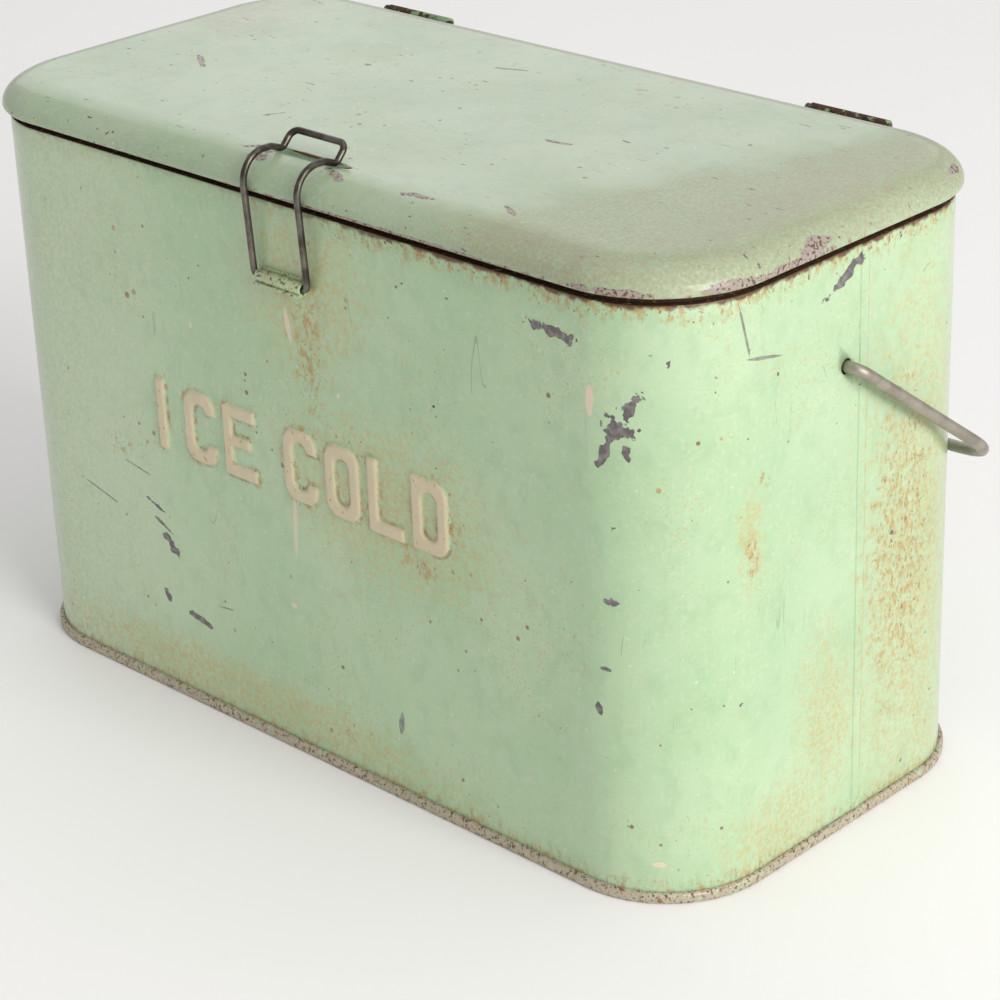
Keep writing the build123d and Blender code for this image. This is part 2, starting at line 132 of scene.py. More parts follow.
def fine_steps(length: float, low: float, high: float, fine: float) -> list[float]:
    """Steps along a side that are fine between two places and coarse elsewhere.

    Args:
        length: the side's straight length, centred on zero.
        low: where the fine stretch starts.
        high: where it ends.
        fine: the fine step.

    Returns:
        The steps from the side's start to its end.
    """
    start = even_steps(low + length / 2, EVEN_COLUMN)
    end = even_steps(length / 2 - high, EVEN_COLUMN)
    return start + even_steps(high - low, fine) + end


def new_edges(made: Iterable[Any], verts: set[bmesh.types.BMVert]) -> list[bmesh.types.BMEdge]:
    """Pick the edges whose two ends are both among the new vertices."""
    edges = [g for g in made if isinstance(g, bmesh.types.BMEdge)]
    return [e for e in edges if e.verts[0] in verts and e.verts[1] in verts]


def carry_round(
    outline: Outline,
    profile: Sequence[Point],
    capped: bool,
    front_steps: Sequence[float] | None = None,
) -> bmesh.types.BMesh:
    """Carry a section all the way round the outline, as a press or a rolling machine does.

    Args:
        outline: the path.
        profile: (outset, height) points of the section.
        capped: True fills the first and last loops flat; False joins the section's ends.
        front_steps: step lengths along the front, where it needs fine columns.

    Returns:
        A closed mesh.
    """
    bm = bmesh.new()
    left = outline.radius - outline.half_x
    verts = [bm.verts.new((left, -outline.half_y - out, z)) for out, z in profile]
    edges = [bm.edges.new(pair) for pair in zip(verts, verts[1:])]
    if not capped:
        edges.append(bm.edges.new((verts[-1], verts[0])))
    for side in range(4):
        turn = Matrix.Rotation(radians(90 * side), 3, "Z")
        along = turn @ Vector((1, 0, 0))
        steps = even_steps(outline.straight(side), EVEN_COLUMN)
        if side == 0 and front_steps:
            steps = front_steps
        for step in steps:
            made = bmesh.ops.extrude_edge_only(bm, edges=edges)["geom"]
            verts = [g for g in made if isinstance(g, bmesh.types.BMVert)]
            edges = new_edges(made, set(verts))
            bmesh.ops.translate(bm, verts=verts, vec=along * step)
        sign = ((1, -1), (1, 1), (-1, 1), (-1, -1))[side]
        spun = bmesh.ops.spin(
            bm,
            geom=verts + edges,
            cent=(
                (outline.half_x - outline.radius) * sign[0],
                (outline.half_y - outline.radius) * sign[1],
                0,
            ),
            axis=(0, 0, 1),
            dvec=(0, 0, 0),
            angle=pi / 2,
            steps=outline.corner_steps,
            use_merge=False,
            use_normal_flip=False,
            use_duplicate=False,
        )["geom_last"]
        verts = [g for g in spun if isinstance(g, bmesh.types.BMVert)]
        edges = [g for g in spun if isinstance(g, bmesh.types.BMEdge)]
    bmesh.ops.remove_doubles(bm, verts=bm.verts, dist=WELD)
    if capped:
        bmesh.ops.holes_fill(bm, edges=bm.edges, sides=0)
    bmesh.ops.recalc_face_normals(bm, faces=bm.faces)
    return bm


def quarter(centre: Point, reach: Point, start: float, end: float, count: int) -> list[Point]:
    """Points on an elliptical arc of a section.

    Args:
        centre: the ellipse's centre, as (outset, height).
        reach: its half widths.
        start: first angle in degrees, from outwards towards up.
        end: last angle.
        count: number of steps.

    Returns:
        The points, both ends included.
    """
    angles = [radians(start + (end - start) * i / count) for i in range(count + 1)]
    return [(centre[0] + reach[0] * cos(a), centre[1] + reach[1] * sin(a)) for a in angles]


def ladder(low: float, high: float, longest: float) -> list[float]:
    """Evenly spaced values from low to high, both included."""
    steps = even_steps(high - low, longest)
    return [low + i * steps[0] for i in range(len(steps) + 1)]


def finish_mesh(name: str, bm: bmesh.types.BMesh, crease: float = 36.0) -> bpy.types.Object:
    """Make a shown object from a bmesh, smooth except at its creases.

    Args:
        name: the piece's name.
        bm: its mesh, which is freed.
        crease: the angle in degrees past which an edge stays sharp.

    Returns:
        The object, at the origin.
    """
    mesh = bpy.data.meshes.new(name)
    bm.to_mesh(mesh)
    bm.free()
    mesh.polygons.foreach_set("use_smooth", [True] * len(mesh.polygons))
    mesh.set_sharp_from_angle(angle=radians(crease))
    piece = bpy.data.objects.new(name, mesh)
    bpy.context.scene.collection.objects.link(piece)
    LOG.info("%s: %d faces", name, len(mesh.polygons))
    return piece


def refined(node: str, soften: float = 0.0) -> bpy.types.Object:
    """Copy a frame node as one welded, smoothly shaded mesh.

    Args:
        node: the frame node's name.
        soften: width in metres of a small bevel on its sharp edges.

    Returns:
        The new object, which replaces the node.
    """
    bm = bmesh.new()
    bm.from_mesh(frame["nodes"][node].data)
    bmesh.ops.remove_doubles(bm, verts=bm.verts, dist=WELD / 10)
    if soften:
        bmesh.ops.dissolve_limit(bm, angle_limit=FLAT_ANGLE, verts=bm.verts, edges=bm.edges)
        sharp = [e for e in bm.edges if e.is_manifold and e.calc_face_angle(0) > SHARP_ANGLE]
        bmesh.ops.bevel(
            bm,
            geom=sharp,
            offset=soften,
            segments=2,
            profile=0.5,
            affect="EDGES",
            material=-1,
            clamp_overlap=True,
        )
        bmesh.ops.triangulate(bm, faces=[f for f in bm.faces if len(f.verts) > 4])
    piece = finish_mesh(f"{node}_finished", bm)
    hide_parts(node)
    return piece


# ---------------------------------------------------------------- raised lettering


class Letter(Enum):
    """The block capitals that the words use."""

    I = "I"
    C = "C"
    E = "E"
    O = "O"
    L = "L"
    D = "D"


def box_distance(x: float, z: float, half_x: float, half_z: float, radius: float = 0.0) -> float:
    """Signed distance from a point to a rounded box centred on zero."""
    qx, qz = abs(x) - half_x + radius, abs(z) - half_z + radius
    return hypot(max(qx, 0), max(qz, 0)) + min(max(qx, qz), 0) - radius


@dataclass(frozen=True)
class Lettering:
    """Two plain words pressed out of the front wall.

    The step and the space are the room that a letter and a gap take, rounding and soft the
    radii of bowls and of square ends, the halo the reach of the rust round a letter, and face
    the depth within which a point counts as on the wall's outside.
    """

    words: str = "ICE COLD"
    centre: Point = (-5 * MM, 153.5 * MM)
    height: float = 38 * MM
    width: float = 24 * MM
    stroke: float = 8 * MM
    step: float = 28 * MM
    space: float = 14 * MM
    rounding: float = 9 * MM
    soft: float = 1.6 * MM
    raised: float = 1.5 * MM
    edge: float = 1.7 * MM
    halo: Point = (-3 * MM, 5 * MM)
    margin: Point = (10 * MM, 8 * MM)
    face: float = 0.3 * MM

    def letter_distance(self, letter: Letter, x: float, z: float) -> float:
        """Signed distance from a point to one letter drawn round zero.

        Args:
            letter: which capital.
            x: across the letter.
            z: up the letter.

        Returns:
            Metres, negative inside the letter.
        """
        half_w, half_h, stroke = self.width / 2, self.height / 2, self.stroke
        outer = box_distance(x, z, half_w, half_h, self.rounding)
        hollow = box_distance(x, z, half_w - stroke, half_h - stroke, self.rounding - stroke / 1.5)
        stem = box_distance(x + half_w - stroke / 2, z, stroke / 2, half_h, self.soft)
        foot = box_distance(x, z + half_h - stroke / 2, half_w, stroke / 2, self.soft)
        if letter is Letter.I:
            return box_distance(x, z, stroke / 2, half_h, self.soft)
        if letter is Letter.O:
            return max(outer, -hollow)
        if letter is Letter.C:
            mouth = box_distance(x - half_w, z, half_w, half_h - 1.5 * stroke)
            return max(outer, -hollow, -mouth)
        if letter is Letter.D:
            square = box_distance(x + half_w / 2, z, half_w / 2, half_h, self.soft)
            return max(min(outer, square), -hollow)
        if letter is Letter.L:
            return min(stem, foot)
        head = box_distance(x, z - half_h + stroke / 2, half_w, stroke / 2, self.soft)
        bar = box_distance(x + stroke / 4, z, half_w - stroke / 4, stroke / 2.3, self.soft)
        return min(stem, foot, head, bar)

    def span(self) -> float:
        """Length of the words from the first step to the last."""
        return sum(self.space if c == " " else self.step for c in self.words)

    def distance(self, x: float, z: float) -> float:
        """Signed distance from a point on the front wall to the nearest letter."""
        best = 1.0
        start = self.centre[0] - self.span() / 2
        for character in self.words:
            step = self.space if character == " " else self.step
            if character != " " and abs(x - start - step / 2) < self.step:
                across, up = x - start - step / 2, z - self.centre[1]
                best = min(best, self.letter_distance(Letter(character), across, up))
            start += step
        return best

    def press(self, bm: bmesh.types.BMesh, front: float) -> None:
        """Push the front wall out into letters and note how near each point is to them.

        Args:
            bm: the wall.
            front: the front face's y.
        """
        layer = bm.verts.layers.float.new("lettering")
        reach_x = self.span() / 2 + self.margin[0]
        reach_z = self.height / 2 + self.margin[1]
        for vert in bm.verts:
            x, y, z = vert.co
            near = abs(x - self.centre[0]) < reach_x and abs(z - self.centre[1]) < reach_z
            if y > front + self.face or not near:
                continue
            distance = self.distance(x, z)
            vert[layer] = 1 - smooth_step(*self.halo, distance)
            vert.co.y -= self.raised * (1 - smooth_step(-self.edge, 0, distance))


# ---------------------------------------------------------------- finishes


def add(
    tree: bpy.types.NodeTree,
    kind: str,
    settings: dict[str, Any] | None = None,
    inputs: dict[str | int, Any] | None = None,
) -> bpy.types.Node:
    """Add a node with its settings and its links.

    Args:
        tree: the node tree.
        kind: the node's type, without the ShaderNode prefix.
        settings: attributes to set on the node.
        inputs: socket name or number to a constant, a socket to link, or a node.

    Returns:
        The new node.
    """
    node = tree.nodes.new(f"ShaderNode{kind}")
    for name, value in (settings or {}).items():
        setattr(node, name, value)
    for name, value in (inputs or {}).items():
        socket = node.inputs[name]
        if isinstance(value, bpy.types.Node):
            value = next(output for output in value.outputs if output.enabled)
        if isinstance(value, bpy.types.NodeSocket):
            tree.links.new(value, socket)
        else:
            socket.default_value = value
    return node


@dataclass
class Recipe:
    """A material in the making: its tree, and places on the object in millimetres."""

    name: str
    skin_roughness: float = 0.1
    material: bpy.types.Material = field(init=False)
    tree: bpy.types.NodeTree = field(init=False)
    place: bpy.types.Node = field(init=False)

    def __post_init__(self) -> None:
        """Start an empty tree with object coordinates scaled to millimetres."""
        self.material = bpy.data.materials.new(self.name)
        self.material.use_nodes = True
        self.tree = self.material.node_tree
        self.tree.nodes.clear()
        coordinates = add(self.tree, "TexCoord")
        scale = {0: coordinates.outputs["Object"], "Scale": 1 / MM}
        self.place = add(self.tree, "VectorMath", {"operation": "SCALE"}, scale)

    def math(self, operation: str, *values: Any) -> bpy.types.Node:
        """One arithmetic node on values, sockets or nodes."""
        return add(self.tree, "Math", {"operation": operation}, dict(enumerate(values)))

    def grain(self, size: float, detail: float, stretch: Triple = (1, 1, 1)) -> bpy.types.Node:
        """Noise whose features are about size millimetres, longer along a stretched axis."""
        scale = {"Vector": self.place, "Scale": tuple(1 / (size * s) for s in stretch)}
        mapped = add(self.tree, "Mapping", None, scale)
        return add(self.tree, "TexNoise", None, {"Vector": mapped, "Scale": 1.0, "Detail": detail})

    def band(self, value: Any, low: float, high: float) -> bpy.types.Node:
        """0 below low, 1 above high and smooth between; low above high turns it round."""
        limits = {"Value": value, "From Min": low, "From Max": high}
        return add(self.tree, "MapRange", {"interpolation_type": "SMOOTHSTEP"}, limits)

    def mix(self, share: Any, under: Any, over: Any) -> bpy.types.Node:
        """Lay one colour over another by a share."""
        return add(self.tree, "Mix", {"data_type": "RGBA"}, {0: share, 6: under, 7: over})

    def share(self, *patterns: Any) -> bpy.types.Node:
        """Multiply patterns and weights into one share."""
        product = patterns[0]
        for pattern in patterns[1:]:
            product = self.math("MULTIPLY", product, pattern)
        return product

    def lay(self, under: Any, over: str, *patterns: Any) -> bpy.types.Node:
        """Lay a hex colour over another colour, as thickly as all the patterns allow."""
        return self.mix(self.share(*patterns), under, linear(over))

    def two_tone(self, share: Any, under: str, over: str) -> bpy.types.Node:
        """Mix two hex colours by a share."""
        return self.mix(share, linear(under), linear(over))

    def marks(self, marks: Sequence[Mark], ragged: float) -> bpy.types.Node:
        """How far a point lies from the nearest mark's middle.

        Args:
            marks: the marks.
            ragged: how far noise may shift a mark's edge, in parts of its size.

        Returns:
            0 in a mark's middle and 1 at its ragged edge.
        """
        wander = self.grain(5, 6)
        nearest: Any = 9.0
        for mark in marks:
            where = {
                "Vector": self.place,
                "Location": mark.centre,
                "Rotation": tuple(radians(a) for a in mark.turn),
                "Scale": mark.size,
            }
            mapped = add(self.tree, "Mapping", {"vector_type": "TEXTURE"}, where)
            length = add(self.tree, "VectorMath", {"operation": "LENGTH"}, {0: mapped})
            nearest = self.math("MINIMUM", nearest, length.outputs["Value"])
        shift = self.share(self.math("SUBTRACT", wander, 0.5), ragged)
        return self.math("ADD", nearest, shift)

    def metal_or_paint(
        self,
        colour: Any,
        roughness: Any,
        bump: Any = None,
        depth: float = 0.05,
        metallic: Any = 0.0,
        gloss: float = 0.0,
    ) -> bpy.types.Material:
        """Finish the tree with one surface shader.

        Args:
            colour: base colour.
            roughness: roughness.
            bump: height pattern from 0 to 1, if any.
            depth: what that height stands for, in millimetres.
            metallic: share of bare metal.
            gloss: weight of a clear glossy skin over the coat.

        Returns:
            The finished material.
        """
        inputs = {"Base Color": colour, "Roughness": roughness, "Metallic": metallic}
        inputs |= {"Coat Weight": gloss, "Coat Roughness": self.skin_roughness}
        if bump is not None:
            height = {"Height": bump, "Distance": depth * MM, "Strength": 1.0}
            inputs["Normal"] = add(self.tree, "Bump", None, height)
        surface = add(self.tree, "BsdfPrincipled", None, inputs)
        add(self.tree, "OutputMaterial", None, {"Surface": surface})
        return self.material


@dataclass(frozen=True)
class Mark:
    """One mark left on the paint: an ellipsoid in millimetres that the surface cuts."""

    centre: Triple
    size: Triple
    turn: Triple = (0, 0, 0)


# Where the paint has gone down to the dark primer
PRIMER_CHIPS = (
    Mark((195, -108, 225), (6, 8, 6)),
    Mark((201, -104, 236), (2.2, 4, 7), (0, 28, 0)),
    Mark((189, -109, 215), (2.2, 4, 8), (0, 22, 0)),
    Mark((198, -106, 214), (1.8, 4, 5), (0, -12, 0)),
    Mark((163, -110, 260), (12, 4, 2.2), (0, 4, 0)),
    Mark((191, -108, 145), (4, 4, 2)),
    Mark((184, -110, 92), (2, 4, 2.5)),
    Mark((187, -109, 112), (2.4, 4, 1.2)),
    Mark((228, 0, 269), (4, 13, 2.6), (26, 0, 0)),
    Mark((-98, -110, 82), (8, 4, 2.5), (0, 42, 0)),
    Mark((-108, -110, 101), (9, 4, 0.9), (0, 20, 0)),
    Mark((-104, -110, 92), (7, 4, 0.8), (0, 24, 0)),
    Mark((-81, -110, 47), (9, 4, 1.8), (0, 14, 0)),
    Mark((-104, -110, 53), (4, 4, 3), (0, 40, 0)),
    Mark((-160, 110, 200), (12, 4, 3), (0, 20, 0)),
    Mark((90, 110, 70), (7, 4, 4)),
    Mark((-228, -20, 120), (4, 9, 4)),
)
# Thin lines dragged through the paint
SCRATCHES = (
    Mark((228.5, -67, 264), (2, 0.7, 16), (14, 0, 0)),
    Mark((228.5, -55, 248), (2, 13, 0.7), (-12, 0, 0)),
    Mark((-150, -110, 96), (14, 2, 0.5), (0, 14, 0)),
    Mark((-120, -110, 118), (10, 2, 0.4), (0, 10, 0)),
    Mark((-60, -110, 60), (7, 2, 0.4), (0, -8, 0)),
    Mark((60, -110, 40), (2, 2, 6), (0, 8, 0)),
    Mark((40, 110, 160), (30, 2, 0.5), (0, 16, 0)),
    Mark((-228, 30, 170), (2, 20, 0.5), (14, 0, 0)),
)
# Spilt cream paint
CREAM_DRIPS = (
    Mark((182, -110, 235), (2, 5, 8)),
    Mark((-5, -110, 125), (1.3, 3, 22), (0, 3, 0)),
    Mark((-1, -110, 222), (1.6, 3, 10), (0, -10, 0)),
    Mark((-10, -110, 78), (2.4, 3, 1.6)),
    Mark((208, -100, 19), (3, 4, 1.5)),
    Mark((30, -110, 196), (1.2, 3, 1.2)),
    Mark((-70, -110, 205), (1.0, 3, 1.6)),
)
# Patches of heavy rust staining
STAINS = (
    Mark((12, -110, 215), (12, 12, 36)),
    Mark((98, -110, 150), (10, 12, 9)),
    Mark((80, -110, 126), (13, 12, 6)),
    Mark((-132, -110, 128), (8, 12, 6)),
    Mark((23, -110, 19), (4, 8, 4)),
    Mark((228, -62, 160), (12, 5, 13)),
    Mark((228, -54, 193), (12, 4, 4)),
    Mark((228, 42, 125), (14, 25, 74)),
    Mark((120, 110, 240), (26, 12, 30)),
    Mark((-140, 110, 238), (24, 12, 34)),
)
# Wide clouds of fine ochre grains
BLOOMS = (
    Mark((228, 55, 110), (20, 44, 150)),
    Mark((228, -10, 62), (20, 22, 46)),
    Mark((228, -40, 20), (20, 36, 22)),
    Mark((228, -62, 168), (14, 8, 24)),
    Mark((60, -110, 150), (70, 14, 40)),
    Mark((10, -110, 240), (40, 14, 40)),
    Mark((-60, -110, 20), (150, 14, 14)),
    Mark((0, 110, 40), (190, 16, 50)),
    Mark((-228, 30, 60), (16, 70, 60)),
)


# Fades across the wall and lid, in millimetres: where each pattern is none and where it is full
# The first band is painted shade, deepening towards the wall's left end
LEFT_END_SHADE = (-196, -222)
PALE_FRONT = (-40, -190)
RIGHT_PANEL = (225, 227)
RUSTIER_SIDE = (-60, 90)
RIM_STAIN = (268, 278)
RIM_CRUST = (276.8, 278.8)
FOOT_STAIN = (15, 4)
DUST_START = (150, 192)
LID_SIDE = (282, 287)
LID_BEND = (296.2, 291)
LID_BEND_CHIPS = (296, 290)
LID_LIP = (287.8, 285.6)
# The lock seam's fold, and the slant and wander of the dust film's edge on the lid
SEAM_FOLD = 14.3
DUST_SLANT = -0.34
DUST_WANDER = 46.0
# How softly a dot's edge fades, in cells, and a hairline's width, in parts of the noise
DOT_EDGE = (-0.02, 0.03)
HAIRLINE = (0.004, 0.001)


class PaintWear(Enum):
    """Which pressing the green enamel is on, since each has aged in its own way."""

    WALL = "wall"
    LID = "lid"
    FITTING = "fitting"


@dataclass(frozen=True)
class GreenEnamel:
    """Baked alkyd enamel, sprayed over grey-brown primer on steel, glossy when new.

    Decades of use give it chalky mottling, pinhole rust, stains that run down, chips to the
    primer and a film of dust, so no two parts of it catch the light in the same way. Painted
    shade also deepens the wall's left end and the lid's latch groove.
    """

    wear: PaintWear
    fresh: str = "#A5C39A"
    faded: str = "#B0C9A3"
    deep: str = "#82A880"
    chalk: str = "#BECCB2"
    primer: str = "#565150"
    primer_pale: str = "#7C7877"
    rust: str = "#76502A"
    rust_pale: str = "#AB8E54"
    ochre: str = "#B9A76C"
    rust_dark: str = "#33200F"
    cream: str = "#D3C8AC"
    cream_old: str = "#C4B68F"
    dust: str = "#989371"
    spot: str = "#D5D6C0"
    smudge: str = "#A39A83"
    bare: str = "#9A8E86"
    bare_rust: str = "#5A4232"

    def material(self) -> bpy.types.Material:
        """Mix the enamel, its wear and, on the wall and lid, its painted shade."""
        mix = Recipe(f"Baked green enamel, worn, on the {self.wear.value}")
        colour = self.aged_coat(mix)
        specks, colour = self.pinhole_rust(mix, colour)
        rough = mix.band(mix.grain(38, 4), 0.25, 0.8)
        rough = mix.math("MULTIPLY_ADD", rough, 0.16, 0.27)
        relief = mix.share(specks, 0.35)
        if self.wear is PaintWear.WALL:
            colour, rough, relief = self.wall_wear_and_shade(mix, colour, rough, relief)
        elif self.wear is PaintWear.LID:
            colour, rough, relief = self.lid_wear_and_shade(mix, colour, rough, relief)
        else:
            colour, rough, relief = self.fitting_wear(mix, colour, rough, relief)
        peel = mix.share(mix.grain(1.9, 3), 0.12)
        height = mix.math("ADD", relief, peel)
        gloss = 0.4 if self.wear is PaintWear.LID else 0.5
        return mix.metal_or_paint(colour, rough, height, 0.22, gloss=gloss)

    def aged_coat(self, mix: Recipe) -> bpy.types.Node:
        """The coat itself: cloudy fading, fine mottling and a pepper of pale dust spots."""
        clouds = mix.band(mix.grain(75, 3), 0.34, 0.68)
        colour = mix.two_tone(clouds, self.fresh, self.faded)
        damp = mix.band(mix.grain(9, 6, (1, 1, 1.4)), 0.47, 0.7)
        colour = mix.lay(colour, self.deep, damp, 0.2)
        chalk = mix.band(mix.grain(2.6, 6), 0.52, 0.7)
        colour = mix.lay(colour, self.chalk, chalk, 0.42)
        spots = self.dots(mix, 3.6, 7.0, 0.2)
        return mix.lay(colour, self.spot, spots, 0.6)

    def dots(self, mix: Recipe, cell: float, rarity: float, reach: float, spread: Any = 1.0) -> Any:
        """Round dots of many sizes.

        Args:
            mix: the material in the making.
            cell: spacing in millimetres.
            rarity: higher leaves fewer large dots.
            reach: radius of the largest dot, in cells.
            spread: a pattern that makes the dots larger where it is near one.

        Returns:
            1 inside a dot.
        """
        cells = {"Vector": mix.place, "Scale": 1 / cell}
        found = add(mix.tree, "TexVoronoi", None, cells)
        size = add(mix.tree, "SeparateColor", None, {0: found.outputs["Color"]})
        radius = mix.share(mix.math("POWER", size.outputs["Red"], rarity), reach)
        radius = mix.share(radius, spread)
        inside = mix.math("SUBTRACT", radius, found.outputs["Distance"])
        return mix.band(inside, *DOT_EDGE)

    def pinhole_rust(self, mix: Recipe, colour: Any) -> tuple[bpy.types.Node, bpy.types.Node]:
        """Small rust dots, thick in some patches and scarce in others."""
        patch = mix.band(mix.grain(44, 4), 0.4, 0.66)
        spread = mix.math("MULTIPLY_ADD", patch, 0.9, 0.3)
        speck = self.dots(mix, 5.5, 5.0, 0.26, spread)
        veil = mix.band(mix.grain(1.5, 5), 0.54, 0.7)
        veil = mix.share(veil, mix.math("MULTIPLY_ADD", patch, 0.55, 0.12))
        colour = mix.lay(colour, self.ochre, veil)
        freckles = self.dots(mix, 3.1, 3.5, 0.2, spread)
        colour = mix.lay(colour, self.rust_pale, freckles, 0.6)
        paler = mix.band(mix.grain(14, 2), 0.45, 0.6)
        tone = mix.two_tone(paler, self.rust, self.rust_pale)
        return speck, mix.mix(mix.share(speck, 0.85), colour, tone)

    def hairlines(self, mix: Recipe, size: float, stretch: Triple) -> bpy.types.Node:
        """Long thin scratches: where a smooth noise crosses its middle value.

        Args:
            mix: the material in the making.
            size: spacing of the lines in millimetres.
            stretch: how much longer the noise is along each axis.

        Returns:
            1 on a scratch.
        """
        level = mix.math("ABSOLUTE", mix.math("SUBTRACT", mix.grain(size, 1, stretch), 0.5))
        line = mix.band(level, *HAIRLINE)
        return mix.share(line, mix.band(mix.grain(size * 0.5, 2), 0.62, 0.68))

    def stain(self, mix: Recipe, colour: Any, near: Any, weight: float) -> bpy.types.Node:
        """Ochre bloom and darker crumbs of rust inside a patch.

        Args:
            mix: the material in the making.
            colour: the colour so far.
            near: 1 inside the patch.
            weight: how strong the stain may get.

        Returns:
            The stained colour.
        """
        bloom = mix.band(mix.grain(2.6, 6, (1, 1, 1.7)), 0.44, 0.66)
        crumbs = mix.band(mix.grain(1.3, 5, (1, 1, 1.4)), 0.58, 0.68)
        colour = mix.lay(colour, self.rust_pale, bloom, near, weight)
        return mix.lay(colour, self.rust, crumbs, near, weight)

    def chip(self, mix: Recipe, colour: Any, share: Any) -> bpy.types.Node:
        """Primer showing where paint is gone, paler in places."""
        paler = mix.band(mix.grain(3, 4), 0.4, 0.65)
        tone = mix.two_tone(paler, self.primer, self.primer_pale)
        return mix.mix(share, colour, tone)

    def wall_wear_and_shade(self, mix: Recipe, colour: Any, rough: Any, relief: Any) -> tuple[Any, Any, Any]:
        """Wear of the wrap-around wall and painted shade on its left end: rim and foot rust, stains,
        chips, drips, lettering.
        """
        axes = add(mix.tree, "SeparateXYZ", None, {0: mix.place})
        height, across = axes.outputs["Z"], axes.outputs["X"]
        wander = mix.math("MULTIPLY_ADD", mix.grain(6, 6), 18.0, -9.0)
        # Painted shade: a deeper green over the left corner and the left end, away from the key light
        shaded = mix.band(mix.math("ADD", across, wander), *LEFT_END_SHADE)
        shaded = mix.share(shaded, mix.band(mix.grain(3, 5), 0.35, 0.6))
        colour = mix.lay(colour, self.deep, shaded, 0.75)
        pale = mix.band(across, *PALE_FRONT)
        pale = mix.share(pale, mix.band(mix.grain(2.2, 6), 0.24, 0.68))
        colour = mix.lay(colour, self.spot, pale, 0.42)
        bloomed = mix.band(mix.marks(BLOOMS, 2.4), 1.35, 0.25)
        grains = mix.math("MULTIPLY_ADD", mix.band(mix.grain(2.1, 6), 0.38, 0.66), 0.6, 0.14)
        colour = mix.lay(colour, self.ochre, bloomed, grains)
        colour = self.stain(mix, colour, mix.band(mix.marks(STAINS, 2.4), 1.3, 0.3), 0.85)
        seam = mix.math("ABSOLUTE", mix.math("SUBTRACT", axes.outputs["Y"], SEAM_FOLD))
        seam = mix.share(mix.band(seam, 0.9, 0.2), mix.band(across, *RIGHT_PANEL))
        seam = mix.share(seam, mix.band(mix.grain(7, 5), 0.35, 0.6))
        colour = mix.lay(colour, self.rust_pale, seam, 0.8)
        to_right = mix.math("MULTIPLY_ADD", mix.band(across, *RUSTIER_SIDE), 0.85, 0.15)
        near_rim = mix.band(mix.math("ADD", height, wander), *RIM_STAIN)
        near_rim = mix.share(near_rim, to_right)
        colour = self.stain(mix, colour, near_rim, 0.95)
        rim = mix.band(mix.math("MULTIPLY_ADD", wander, 0.4, height), *RIM_CRUST)
        crust = mix.two_tone(mix.grain(2, 3), self.rust_dark, self.rust)
        colour = mix.mix(mix.share(rim, to_right), colour, crust)
        near_foot = mix.band(mix.math("ADD", height, wander), *FOOT_STAIN)
        colour = self.stain(mix, colour, near_foot, 0.75)
        chips = mix.band(mix.marks(PRIMER_CHIPS, 3.4), 1.02, 0.92)
        random_chips = mix.band(mix.grain(5.5, 4), 0.735, 0.745)
        chips = mix.math("MAXIMUM", chips, random_chips)
        scratches = mix.band(mix.marks(SCRATCHES, 0.9), 1.05, 0.85)
        hair = mix.share(self.hairlines(mix, 52, (0.3, 0.3, 2.6)), 0.55)
        scratches = mix.math("MAXIMUM", scratches, hair)
        chips = mix.math("MAXIMUM", chips, mix.share(scratches, 0.75))
        colour = self.chip(mix, colour, chips)
        drips = mix.band(mix.marks(CREAM_DRIPS, 0.9), 1.0, 0.85)
        colour = mix.lay(colour, self.cream, drips)
        colour, letters = self.lettering_paint(mix, colour)
        relief = mix.math("SUBTRACT", relief, chips)
        rough = mix.math("MULTIPLY_ADD", mix.math("MAXIMUM", chips, near_rim), 0.25, rough)
        return colour, mix.math("MULTIPLY_ADD", letters, 0.12, rough), relief

    def lettering_paint(self, mix: Recipe, colour: Any) -> tuple[Any, Any]:
        """Cream paint on the raised letters, with rust creeping in along their feet."""
        raised = add(mix.tree, "Attribute", {"attribute_name": "lettering"}).outputs["Fac"]
        ragged = mix.math("MULTIPLY_ADD", mix.grain(2.4, 4), 0.22, raised)
        letters = mix.band(ragged, 0.89, 0.93)
        halo = mix.share(mix.band(raised, 0.1, 0.55), mix.band(mix.grain(13, 4), 0.44, 0.62))
        colour = self.stain(mix, colour, halo, 0.9)
        cream = mix.two_tone(mix.grain(5, 4), self.cream, self.cream_old)
        colour = mix.mix(letters, colour, cream)
        worn = mix.share(letters, mix.band(mix.grain(4, 5), 0.62, 0.68))
        colour = mix.lay(colour, self.rust_pale, worn, 0.8)
        edge = mix.share(mix.band(raised, 0.45, 0.62), mix.band(raised, 0.86, 0.7))
        line = mix.share(edge, mix.band(mix.grain(11, 4), 0.46, 0.66))
        return mix.lay(colour, self.rust, line, 0.6), letters

    def lid_wear_and_shade(self, mix: Recipe, colour: Any, rough: Any, relief: Any) -> tuple[Any, Any, Any]:
        """Wear of the lid: dust on the right, smudges, scuffs, painted shade and rubbed rust in the
        groove, and a bare lip.
        """
        axes = add(mix.tree, "SeparateXYZ", None, {0: mix.place})
        height = axes.outputs["Z"]
        along = mix.math("MULTIPLY_ADD", axes.outputs["Y"], DUST_SLANT, axes.outputs["X"])
        along = mix.math("MULTIPLY_ADD", mix.grain(30, 4), DUST_WANDER, along)
        dusty = mix.share(mix.band(along, *DUST_START), mix.band(height, *LID_SIDE))
        film = mix.band(mix.grain(1.5, 6), 0.36, 0.62)
        film = mix.share(dusty, mix.math("MULTIPLY_ADD", film, 0.5, 0.14))
        colour = mix.lay(colour, self.dust, film)
        smudges = mix.band(mix.marks(LID_SMUDGES, 1.6), 1.3, 0.2)
        smudges = mix.share(smudges, mix.band(mix.grain(4, 6), 0.3, 0.7))
        colour = mix.lay(colour, self.smudge, smudges, 0.6)
        rubbed = mix.share(mix.band(height, *LID_BEND), mix.band(mix.grain(1.6, 6), 0.5, 0.68))
        colour = mix.lay(colour, self.spot, rubbed, 0.16)
